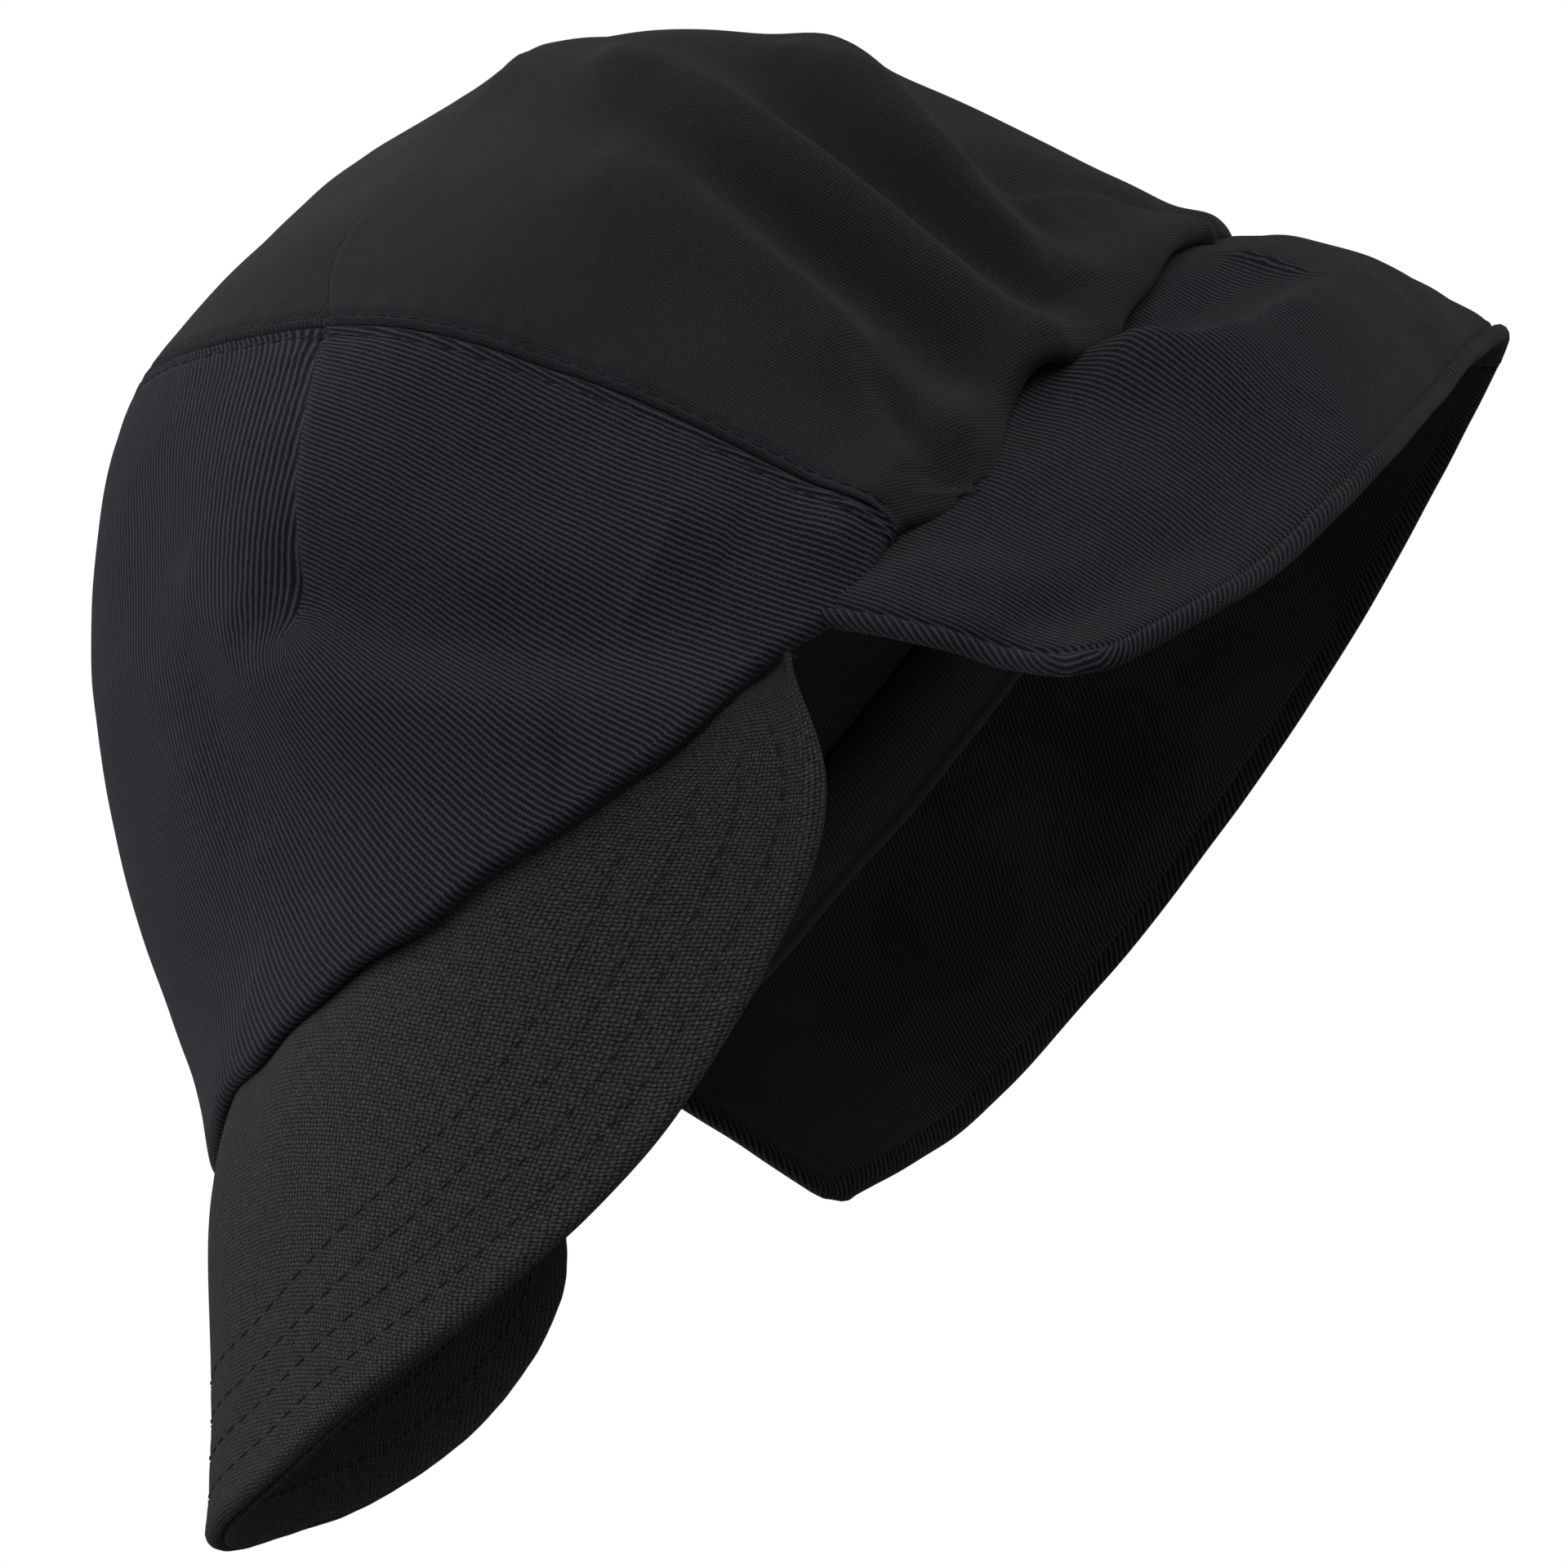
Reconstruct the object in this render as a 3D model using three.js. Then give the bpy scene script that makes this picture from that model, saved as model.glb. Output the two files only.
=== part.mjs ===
// A soft cotton cap: a crown of four panels, a short arched peak and a flap that hangs round the
// sides and back. Millimetres, +Z up, the front towards -Y and the wearer's left towards +X.
// The origin is the middle of the head opening, level with the rim at its sides.
import * as THREE from 'three';

// Cloth thicknesses and the small gap left between neighbouring pieces.
const CROWN_CLOTH = 1.5;
const FLAP_CLOTH = 2.0;
const PEAK_BOARD = 2.8;
const GAP = 0.35;

// Grid cells of each piece, round the cap or across it, and up or down it.
const GRIDS = {
  frontBand: [32, 13],
  crownCentre: [12, 26],
  crownSide: [22, 18],
  neckFlap: [60, 8],
  peak: [32, 9],
  rimWelt: [60, 6],
};

// The crown in sections, from the rim up to the top. Each section meets the middle plane at
// frontY, frontZ and at backY, backZ, and it is widest at sideX, sideY, sideZ.
const CROWN_SECTIONS = [
  { frontY: -100, frontZ: 22, sideX: 78, sideY: 0, sideZ: 0.5, backY: 100, backZ: 0 },
  { frontY: -90, frontZ: 41, sideX: 75, sideY: 3, sideZ: 25, backY: 97, backZ: 18 },
  { frontY: -76, frontZ: 65, sideX: 69, sideY: 8, sideZ: 49, backY: 91, backZ: 41 },
  { frontY: -58, frontZ: 87, sideX: 61, sideY: 15, sideZ: 70, backY: 83, backZ: 62 },
  { frontY: -33, frontZ: 102, sideX: 45, sideY: 22, sideZ: 87, backY: 72, backZ: 81 },
  { frontY: 0, frontZ: 107, sideX: 24, sideY: 28, sideZ: 102, backY: 53, backZ: 99 },
  { frontY: 30, frontZ: 110, sideX: 0, sideY: 30, sideZ: 110, backY: 30, backZ: 110 },
];
const CORNER_FULLNESS = 0.03; // how far a section stands out between its front, side and back

// Where the crown's lower edge bulges over the pieces sewn below it. The angle runs round the rim
// from the middle of the front, over the left side; drop is how far the edge hangs below the rim.
const BULGE_REACH = 16; // the bulge fades out up the crown with this power of the plan's radius
const RIM_BULGES = [
  { angle: 48, spread: 18, drop: 1.6 },
  { angle: 96, spread: 9, drop: 1.5 },
  { angle: 109, spread: 5, drop: 2.0 },
  { angle: 205, spread: 20, drop: 1.2 },
  { angle: 258, spread: 9, drop: 1.6 },
  { angle: 312, spread: 18, drop: 1.6 },
];

const FOLD_START = 0.15; // where on the fade from nothing to full height a fold starts
const FOLD_STEPS = 24; // points on each fold's route

// Broad folds of the crown. A fold runs from start over mid to end, each given by its angle round
// the crown and by its rise, 0 at the rim and 1 at the top. Its height is measured outwards, and
// it falls away over the width before it, towards the front, and the width after it.
const CROWN_FOLDS = [
  { start: [114, 0.7], mid: [109, 0.38], end: [105, -0.02], height: 4.0, before: 10, after: 6 },
  { start: [128, 0.62], mid: [117, 0.33], end: [110, 0.05], height: -3.5, before: 9, after: 6 },
  { start: [150, 0.5], mid: [127, 0.28], end: [116, 0.06], height: 2.0, before: 7, after: 6 },
  { start: [103, 0.5], mid: [102, 0.26], end: [97, -0.02], height: -2.5, before: 8, after: 7 },
  { start: [93, 0.46], mid: [94, 0.26], end: [88, -0.02], height: 1.0, before: 9, after: 8 },
  { start: [245, 0.64], mid: [252, 0.36], end: [256, 0.02], height: 2.6, before: 8, after: 10 },
  { start: [232, 0.56], mid: [240, 0.3], end: [247, 0.04], height: -2.6, before: 8, after: 8 },
  { start: [208, 0.46], mid: [214, 0.26], end: [222, 0.02], height: 1.8, before: 9, after: 9 },
  { start: [176, 0.36], mid: [190, 0.24], end: [203, 0.16], height: -1.8, before: 9, after: 9 },
];

// Seams of the crown's left half, on a plan in which the rim is the circle of radius 1, the top
// is its centre, left is the wearer's left and back points backwards.
const BAND_SEAM = [
  { left: 0.985, back: -0.135 },
  { left: 0.76, back: -0.175 },
  { left: 0.525, back: -0.223 },
  { left: 0.35, back: -0.28 },
  { left: 0.18, back: -0.316 },
  { left: 0, back: -0.33 },
];
const TOP_SEAM = [
  { left: 0.35, back: -0.28 },
  { left: 0.29, back: -0.19 },
  { left: 0.25, back: -0.01 },
  { left: 0.235, back: 0.16 },
  { left: 0.27, back: 0.45 },
  { left: 0.33, back: 0.72 },
  { left: 0.38, back: 0.925 },
];
const BAND_SEAM_TO_TOP_SEAM = 0.6; // part of BAND_SEAM that lies beside a side panel
const SIDE_PANEL_CORNER = 0.6; // part of TOP_SEAM where a side panel's grid turns its corner
const BAND_GRID_CORNER = 55; // angle on the rim where the front band's grid turns its corner

// The flap in ribs, from its front edge on the left, round the back, to its front edge on the
// right. A rib runs from the rim at its angle down to x, y, z, and bows outwards by bow.
const FLAP_RIBS = [
  { angle: 71, x: 97, y: -23, z: -30, bow: 1 },
  { angle: 88, x: 98, y: 1, z: -38, bow: 2 },
  { angle: 106, x: 86, y: 38, z: -40, bow: 3 },
  { angle: 124, x: 69, y: 64, z: -39, bow: 5 },
  { angle: 145, x: 45, y: 98, z: -36, bow: 5 },
  { angle: 163, x: 25, y: 119, z: -35, bow: 3 },
  { angle: 180, x: -4, y: 126, z: -36, bow: 3 },
  { angle: 200, x: -34, y: 111, z: -41, bow: 3 },
  { angle: 222, x: -62, y: 91, z: -44, bow: 3 },
  { angle: 245, x: -84, y: 60, z: -45, bow: 3 },
  { angle: 266, x: -86, y: 24, z: -44, bow: 3 },
  { angle: 280, x: -78, y: -8, z: -37, bow: 1 },
];
const FLAP_LENGTH = 400; // along the flap's lower edge
const FLAP_WIDTH = 45; // from the rim to that edge
const FLAP_SEAT = { inset: 0.6, below: 0.4 }; // where its sewn edge lies, from the crown's edge
const FLAP_BOW_RISE = 0.3; // the flap bows outwards and this part of that upwards
const FLAP_FOLD_START = 0.25; // part of the width in which folds grow to their full height

// Broad folds of the flap, by parts of its length and width.
const FLAP_FOLDS = [
  { start: [0.185, -0.1], mid: [0.22, 0.42], end: [0.36, 0.58], height: 2.6, before: 9, after: 7 },
  { start: [0.23, 0.02], mid: [0.27, 0.1], end: [0.34, 0.2], height: -3.0, before: 10, after: 8 },
  { start: [0.07, 0.3], mid: [0.1, 0.6], end: [0.12, 1.1], height: -1.6, before: 12, after: 12 },
  { start: [0.6, 0.7], mid: [0.75, 0.62], end: [0.9, 0.66], height: 1.8, before: 8, after: 8 },
];

// The peak's free edge, from the left corner round the front to the right corner.
const PEAK_EDGE = [
  { x: 75, y: -35, z: 2 },
  { x: 69, y: -48, z: -13 },
  { x: 60, y: -65, z: -22 },
  { x: 48, y: -92, z: -25 },
  { x: 36, y: -117, z: -22 },
  { x: 24, y: -135, z: -16 },
  { x: 12, y: -146, z: -12 },
  { x: 0, y: -150, z: -10 },
  { x: -12, y: -146, z: -11 },
  { x: -24, y: -134, z: -14 },
  { x: -37, y: -115, z: -19 },
  { x: -49, y: -90, z: -22 },
  { x: -60, y: -64, z: -19 },
  { x: -69, y: -47, z: -10 },
  { x: -75, y: -35, z: 2 },
];
const PEAK_HALF_ANGLE = 70; // the peak is sewn to the rim between these angles
const PEAK_CORNER_TRIM = 0.97; // part of that angle that the board fills
const PEAK_ROUNDING = 2.6; // how far the peak stands above straight lines from rim to edge
const PEAK_ROUNDING_WAY = new THREE.Vector3(0, -0.6, 0.8);
const PEAK_SEAT = { inset: 1.9, below: 1.2 }; // lower, because the crown's wall leans back here
const PEAK_CORNER = { board: 0.35, taper: 0.11 }; // thinner board in the first part of each side

// The turned seam inside the rim is a thin ridge against the crown's inner face.
const WELT_RADIUS = 0.9;
const WELT_RISE = 0.013; // as a part of the way up the crown

const HEAD_MIDDLE = new THREE.Vector3(0, 10, 20);
const radians = THREE.MathUtils.degToRad;

// The value at part 0..1 of a table of rows, on a smooth curve through all of them. after, if
// given, is the row that would follow the table's last.
function along(table, part, after) {
  const spans = table.length - 1;
  const place = THREE.MathUtils.clamp(part, 0, 1) * spans;
  const index = Math.min(Math.floor(place), spans - 1);
  const f = place - index;
  const row = {};
  for (const name of Object.keys(table[0])) {
    const p1 = table[index][name];
    const p2 = table[index + 1][name];
    const p0 = index > 0 ? table[index - 1][name] : 2 * p1 - p2;
    let p3 = 2 * p2 - p1;
    if (index + 2 <= spans) p3 = table[index + 2][name];
    else if (after) p3 = after[name];
    const bend = 2 * p0 - 5 * p1 + 4 * p2 - p3;
    row[name] = 0.5 * (2 * p1 + (p2 - p0) * f + bend * f ** 2 + (3 * p1 - p0 - 3 * p2 + p3) * f ** 3);
  }
  return row;
}

// A point of the plan from its angle round the crown and its rise.
function planPoint(angle, rise) {
  const turn = radians(angle);
  return { left: (1 - rise) * Math.sin(turn), back: -(1 - rise) * Math.cos(turn) };
}

function angleOf(point) {
  return THREE.MathUtils.euclideanModulo(Math.atan2(point.left, -point.back) * 180 / Math.PI, 360);
}

// Past the top, the crown's section comes down again on the other side.
const pastTop = (() => {
  const last = CROWN_SECTIONS[CROWN_SECTIONS.length - 2];
  return {
    frontY: last.backY, frontZ: last.backZ, sideX: -last.sideX, sideY: last.sideY,
    sideZ: last.sideZ, backY: last.frontY, backZ: last.frontZ,
  };
})();

// The crown before its folds: the point of the outer cloth over a point of the plan.
function smoothCrown(point) {
  const radius = Math.max(Math.hypot(point.left, point.back), 1e-9);
  const sine = point.left / radius;
  const cosine = -point.back / radius;
  const row = along(CROWN_SECTIONS, 1 - radius, pastTop);
  const full = 1 + CORNER_FULLNESS * (2 * sine * cosine) ** 2;
  const front = cosine > 0;
  const reach = front ? row.sideY - row.frontY : row.backY - row.sideY;
  return new THREE.Vector3(
    row.sideX * sine * full,
    row.sideY - reach * cosine * full,
    row.sideZ * sine ** 2 + (front ? row.frontZ : row.backZ) * cosine ** 2,
  );
}

// How far the folds lift the cloth at a point of a flat pattern, in millimetres.
function foldLift(folds, x, y) {
  let lift = 0;
  for (const { route, height, before, after } of folds) {
    let nearest = 0;
    let distance = Infinity;
    for (let i = 0; i < route.length; i += 1) {
      const away = Math.hypot(x - route[i].x, y - route[i].y);
      if (away < distance) [nearest, distance] = [i, away];
    }
    const a = route[Math.max(nearest - 1, 0)];
    const b = route[Math.min(nearest + 1, route.length - 1)];
    const side = (x - a.x) * (b.y - a.y) - (y - a.y) * (b.x - a.x);
    const width = side > 0 ? before : after;
    const way = THREE.MathUtils.lerp(FOLD_START, 1, nearest / FOLD_STEPS);
    const fade = Math.sqrt(Math.max(Math.sin(Math.PI * way), 0));
    lift += height * fade * Math.exp(-((distance / width) ** 2));
  }
  return lift;
}

// Draws each fold's route as a row of points on the flat pattern.
function routed(folds, toPattern) {
  return folds.map((fold) => {
    const table = [fold.start, fold.mid, fold.end].map(toPattern);
    const route = Array.from({ length: FOLD_STEPS + 1 }, (_, i) => along(table, i / FOLD_STEPS));
    return { ...fold, route };
  });
}

const PLAN_SCALE = 100; // one unit of the plan is about this many millimetres of cloth
const crownFolds = routed(CROWN_FOLDS, ([angle, rise]) => {
  const point = planPoint(angle, rise);
  return { x: point.left * PLAN_SCALE, y: point.back * PLAN_SCALE };
});
const flapFolds = routed(FLAP_FOLDS, ([part, depth]) => ({
  x: part * FLAP_LENGTH, y: depth * FLAP_WIDTH,
}));

// How far the crown's edge hangs below the rim at an angle.
function rimDrop(angle) {
  let drop = 0;
  for (const bulge of RIM_BULGES) {
    drop += bulge.drop * Math.exp(-(((angle - bulge.angle) / bulge.spread) ** 2));
  }
  return drop;
}

// The outward normal of the crown before its folds.
function crownNormal(point) {
  const step = 1e-3;
  const shift = (left, back) => smoothCrown({ left: point.left + left, back: point.back + back });
  const acrossTangent = shift(step, 0).sub(shift(-step, 0));
  const alongTangent = shift(0, step).sub(shift(0, -step));
  const normal = acrossTangent.cross(alongTangent).normalize();
  return normal.dot(smoothCrown(point).sub(HEAD_MIDDLE)) < 0 ? normal.negate() : normal;
}

// The crown's outer cloth with its folds and its bulging edge.
function crownPoint(point) {
  const lift = foldLift(crownFolds, point.left * PLAN_SCALE, point.back * PLAN_SCALE);
  const at = smoothCrown(point).addScaledVector(crownNormal(point), lift);
  at.z -= rimDrop(angleOf(point)) * Math.hypot(point.left, point.back) ** BULGE_REACH;
  return at;
}

// Points at even distances along a curve of the plan.
function evenly(curve, count) {
  const samples = 200;
  const fine = Array.from({ length: samples + 1 }, (_, i) => curve(i / samples));
  const lengths = [0];
  for (let i = 1; i <= samples; i += 1) {
    const step = Math.hypot(fine[i].left - fine[i - 1].left, fine[i].back - fine[i - 1].back);
    lengths.push(lengths[i - 1] + step);
  }
  return Array.from({ length: count + 1 }, (_, i) => {
    const target = (lengths[samples] * i) / count;
    let k = 1;
    while (k < samples && lengths[k] < target) k += 1;
    const f = (target - lengths[k - 1]) / (lengths[k] - lengths[k - 1]);
    return {
      left: THREE.MathUtils.lerp(fine[k - 1].left, fine[k].left, f),
      back: THREE.MathUtils.lerp(fine[k - 1].back, fine[k].back, f),
    };
  });
}

// Fills four curves of the plan with a grid: bottom and top run across, left and right run up.
function fillPlan({ bottom, top, left, right }, across, up) {
  const bottoms = evenly(bottom, across);
  const tops = evenly(top, across);
  const lefts = evenly(left, up);
  const rights = evenly(right, up);
  return bottoms.map((_, i) => lefts.map((__, j) => {
    const u = i / across;
    const v = j / up;
    const mix = (name) => (1 - v) * bottoms[i][name] + v * tops[i][name]
      + (1 - u) * lefts[j][name] + u * rights[j][name]
      - (1 - u) * (1 - v) * bottoms[0][name] - u * (1 - v) * bottoms[across][name]
      - (1 - u) * v * tops[0][name] - u * v * tops[across][name];
    return { left: mix('left'), back: mix('back') };
  }));
}

const rimArc = (from, to) => (part) => planPoint(THREE.MathUtils.lerp(from, to, part), 0);
const stretch = (table, from, to) => (at) => along(table, THREE.MathUtils.lerp(from, to, at));
const mirrored = (point) => ({ left: -point.left, back: point.back });

// Moves the border of a grid of points inwards, so that neighbouring pieces keep their gap.
function drawIn(grid, margin) {
  const last = grid.length - 1;
  const end = grid[0].length - 1;
  const pull = (point, inner) => point.add(inner.clone().sub(point).setLength(margin));
  for (let i = 0; i <= last; i += 1) {
    pull(grid[i][0], grid[i][1]);
    pull(grid[i][end], grid[i][end - 1]);
  }
  for (let j = 0; j <= end; j += 1) {
    pull(grid[0][j], grid[1][j]);
    pull(grid[last][j], grid[last - 1][j]);
  }
  return grid;
}

// The unit normals of a grid of points, all on the side that faces away from inside.
function gridNormals(grid, inside) {
  const last = grid.length - 1;
  const end = grid[0].length - 1;
  return grid.map((column, i) => column.map((point, j) => {
    const across = grid[Math.min(i + 1, last)][j].clone().sub(grid[Math.max(i - 1, 0)][j]);
    const up = column[Math.min(j + 1, end)].clone().sub(column[Math.max(j - 1, 0)]);
    const normal = across.cross(up).normalize();
    return normal.dot(point.clone().sub(inside)) < 0 ? normal.negate() : normal;
  }));
}

// A closed wall of cloth: the grid is its outer face, and thickness(i) is measured inwards.
function wall(grid, normals, thickness) {
  const columns = grid.length;
  const rows = grid[0].length;
  const positions = [];
  grid.forEach((column) => column.forEach((point) => positions.push(...point.toArray())));
  grid.forEach((column, i) => column.forEach((point, j) => {
    positions.push(...point.clone().addScaledVector(normals[i][j], -thickness(i)).toArray());
  }));
  const outer = (i, j) => i * rows + j;
  const inner = (i, j) => columns * rows + outer(i, j);
  const faces = [];
  const quad = (a, b, c, d) => faces.push(a, b, c, a, c, d);
  for (let i = 0; i < columns - 1; i += 1) {
    for (let j = 0; j < rows - 1; j += 1) {
      quad(outer(i, j), outer(i + 1, j), outer(i + 1, j + 1), outer(i, j + 1));
      quad(inner(i, j), inner(i, j + 1), inner(i + 1, j + 1), inner(i + 1, j));
    }
    quad(outer(i, 0), inner(i, 0), inner(i + 1, 0), outer(i + 1, 0));
    quad(outer(i, rows - 1), outer(i + 1, rows - 1), inner(i + 1, rows - 1), inner(i, rows - 1));
  }
  for (let j = 0; j < rows - 1; j += 1) {
    quad(outer(0, j), outer(0, j + 1), inner(0, j + 1), inner(0, j));
    quad(outer(columns - 1, j), inner(columns - 1, j), inner(columns - 1, j + 1), outer(columns - 1, j + 1));
  }
  return closedGeometry(positions, faces);
}

// A geometry whose faces point outwards whichever way round they were listed.
function closedGeometry(positions, faces) {
  const corner = (index) => new THREE.Vector3().fromArray(positions, 3 * index);
  let volume = 0;
  for (let i = 0; i < faces.length; i += 3) {
    volume += corner(faces[i]).dot(corner(faces[i + 1]).cross(corner(faces[i + 2])));
  }
  if (volume < 0) faces.reverse();
  const geometry = new THREE.BufferGeometry();
  geometry.setAttribute('position', new THREE.Float32BufferAttribute(positions, 3));
  geometry.setIndex(faces);
  geometry.computeVertexNormals();
  return geometry;
}

// One panel of the crown from the curves round it on the plan.
function crownPanel(outline, cells) {
  const plan = fillPlan(outline, ...cells);
  const grid = drawIn(plan.map((column) => column.map(crownPoint)), GAP / 2);
  const normals = plan.map((column) => column.map(crownNormal));
  return wall(grid, normals, () => CROWN_CLOTH);
}

const wholeBandSeam = [...BAND_SEAM.map(mirrored), ...BAND_SEAM.slice(0, -1).reverse()];

function frontBand() {
  return crownPanel({
    bottom: rimArc(-BAND_GRID_CORNER, BAND_GRID_CORNER),
    top: stretch(wholeBandSeam, 0, 1),
    left: rimArc(-BAND_GRID_CORNER, -angleOf(BAND_SEAM[0])),
    right: rimArc(BAND_GRID_CORNER, angleOf(BAND_SEAM[0])),
  }, GRIDS.frontBand);
}

function crownCentre() {
  const backAngle = angleOf(TOP_SEAM[TOP_SEAM.length - 1]);
  return crownPanel({
    bottom: stretch(wholeBandSeam, BAND_SEAM_TO_TOP_SEAM / 2, 1 - BAND_SEAM_TO_TOP_SEAM / 2),
    top: rimArc(360 - backAngle, backAngle),
    left: stretch(TOP_SEAM.map(mirrored), 0, 1),
    right: stretch(TOP_SEAM, 0, 1),
  }, GRIDS.crownCentre);
}

function crownSide(side) {
  const turned = (curve) => (side > 0 ? curve : (at) => mirrored(curve(at)));
  const frontAngle = angleOf(BAND_SEAM[0]);
  const backAngle = angleOf(TOP_SEAM[TOP_SEAM.length - 1]);
  return crownPanel({
    bottom: turned(rimArc(frontAngle, backAngle)),
    top: turned(stretch(TOP_SEAM, 0, SIDE_PANEL_CORNER)),
    left: turned(stretch(BAND_SEAM, 0, BAND_SEAM_TO_TOP_SEAM)),
    right: turned(stretch(TOP_SEAM, 1, SIDE_PANEL_CORNER)),
  }, GRIDS.crownSide);
}

// A point inside and below the crown's edge, where a lower piece is sewn on.
function seamPoint(angle, { inset, below }) {
  const at = planPoint(angle, 0);
  const edge = crownPoint(at);
  return new THREE.Vector3(edge.x - at.left * inset, edge.y - at.back * inset, edge.z - below);
}

const pointOf = ({ x, y, z }) => new THREE.Vector3(x, y, z);

function neckFlap() {
  const [around, down] = GRIDS.neckFlap;
  const grid = [];
  for (let i = 0; i <= around; i += 1) {
    const rib = along(FLAP_RIBS, i / around);
    const outwards = planPoint(rib.angle, 0);
    const bowWay = new THREE.Vector3(outwards.left, outwards.back, FLAP_BOW_RISE);
    const sewn = seamPoint(rib.angle, FLAP_SEAT);
    const column = [];
    for (let j = 0; j <= down; j += 1) {
      const depth = j / down;
      const lift = foldLift(flapFolds, (i / around) * FLAP_LENGTH, depth * FLAP_WIDTH);
      const out = 4 * depth * (1 - depth) * rib.bow + lift * Math.min(1, depth / FLAP_FOLD_START);
      column.push(sewn.clone().lerp(pointOf(rib), depth).addScaledVector(bowWay, out));
    }
    grid.push(column);
  }
  return wall(grid, gridNormals(grid, new THREE.Vector3(0, 10, 0)), () => FLAP_CLOTH);
}

function peak() {
  const [across, out] = GRIDS.peak;
  const hump = (v) => (v * (1 - v) ** 3) / (0.25 * 0.75 ** 3); // 1 at a quarter of the way out
  const grid = [];
  for (let i = 0; i <= across; i += 1) {
    const place = THREE.MathUtils.lerp(PEAK_CORNER_TRIM, -PEAK_CORNER_TRIM, i / across);
    const edge = pointOf(along(PEAK_EDGE, (1 - place) / 2));
    const sewn = seamPoint(place * PEAK_HALF_ANGLE, PEAK_SEAT);
    const column = [];
    for (let j = 0; j <= out; j += 1) {
      const rounding = PEAK_ROUNDING * hump(j / out) * (1 - place ** 2);
      column.push(sewn.clone().lerp(edge, j / out).addScaledVector(PEAK_ROUNDING_WAY, rounding));
    }
    grid.push(column);
  }
  const belowPeak = new THREE.Vector3(0, -60, -80);
  const board = (i) => {
    const inFromCorner = Math.min(i, across - i) / across;
    const part = THREE.MathUtils.lerp(PEAK_CORNER.board, 1, inFromCorner / PEAK_CORNER.taper);
    return PEAK_BOARD * Math.min(part, 1);
  };
  return wall(grid, gridNormals(grid, belowPeak), board);
}

function rimWelt() {
  const [around, sides] = GRIDS.rimWelt;
  const inset = CROWN_CLOTH + GAP + WELT_RADIUS;
  const positions = [];
  const faces = [];
  for (let i = 0; i < around; i += 1) {
    const at = planPoint((360 * i) / around, WELT_RISE);
    const inwards = crownNormal(at).negate();
    const middle = crownPoint(at).addScaledVector(inwards, inset);
    const upwards = new THREE.Vector3(0, 0, 1).projectOnPlane(inwards).normalize();
    for (let k = 0; k < sides; k += 1) {
      const turn = (2 * Math.PI * k) / sides;
      const corner = middle.clone()
        .addScaledVector(inwards, WELT_RADIUS * Math.cos(turn))
        .addScaledVector(upwards, WELT_RADIUS * Math.sin(turn));
      positions.push(...corner.toArray());
      const here = i * sides;
      const next = ((i + 1) % around) * sides;
      const up = (k + 1) % sides;
      faces.push(here + k, next + k, next + up, here + k, next + up, here + up);
    }
  }
  return closedGeometry(positions, faces);
}

const fineTwill = { color: 0x252224, roughness: 0.95, metalness: 0 };
const steepTwill = { color: 0x23262c, roughness: 0.92, metalness: 0 };
const canvas = { color: 0x2b2a2c, roughness: 0.95, metalness: 0 };

function piece(name, geometry, finish) {
  const mesh = new THREE.Mesh(geometry, new THREE.MeshStandardMaterial(finish));
  mesh.name = name;
  return mesh;
}

const cap = new THREE.Group();
cap.add(
  piece('front_band', frontBand(), steepTwill),
  piece('crown_centre', crownCentre(), fineTwill),
  piece('crown_left', crownSide(1), fineTwill),
  piece('crown_right', crownSide(-1), fineTwill),
  piece('peak', peak(), canvas),
  piece('neck_flap', neckFlap(), steepTwill),
  piece('rim_welt', rimWelt(), steepTwill),
);

export default cap;
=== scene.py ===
"""The visual model of a soft cotton cap: a crown of four panels, an arched peak and a hanging flap.

The tables are in millimetres, +Z up, the front towards -Y and the wearer's left towards +X, and the
origin is the middle of the head opening. Meshes are written in metres.

A point of the crown is given on a plan, as (left, back): the rim is the circle of radius 1 and the
top is its centre. An angle runs round it from the middle of the front over the left side, and rise
is 0 at the rim and 1 at the top.
"""

import logging
import math
from collections.abc import Callable, Sequence
from dataclasses import dataclass
from enum import Enum

import bmesh
import bpy
import numpy as np
from bmesh.types import BMesh
from bpy.types import Material, Mesh, NodeSocket, Object
from mathutils import Matrix, Vector

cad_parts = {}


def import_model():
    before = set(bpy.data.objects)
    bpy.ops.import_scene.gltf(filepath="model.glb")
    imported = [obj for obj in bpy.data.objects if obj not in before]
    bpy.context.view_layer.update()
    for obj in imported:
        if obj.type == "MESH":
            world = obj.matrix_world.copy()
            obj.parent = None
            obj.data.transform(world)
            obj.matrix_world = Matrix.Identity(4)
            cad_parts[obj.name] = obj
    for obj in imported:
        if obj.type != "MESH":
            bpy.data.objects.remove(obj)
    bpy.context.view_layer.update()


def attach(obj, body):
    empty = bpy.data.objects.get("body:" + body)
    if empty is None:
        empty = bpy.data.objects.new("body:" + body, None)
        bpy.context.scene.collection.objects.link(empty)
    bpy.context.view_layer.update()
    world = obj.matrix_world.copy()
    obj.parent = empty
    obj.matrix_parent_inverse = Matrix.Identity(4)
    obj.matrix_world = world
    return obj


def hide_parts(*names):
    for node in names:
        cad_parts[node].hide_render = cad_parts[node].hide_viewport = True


Array = np.ndarray
Pair = tuple[float, float]
Triple = tuple[float, float, float]

log = logging.getLogger("cap")

MM = 0.001
CLOTH_MAP = "cloth"  # the UV map that says where on its flat cloth a point of a piece lies
LAYOUT = "layout"  # across, up and ring step of each vertex while a mesh is made
AT_EDGE = 1e-5  # how near to the edge of a grid, in parts of it, a vertex counts as on it
WELD = 2e-6  # how near to each other, in metres, vertices are merged
HEAD_MIDDLE = np.array([0.0, 10.0, 20.0])

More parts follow.
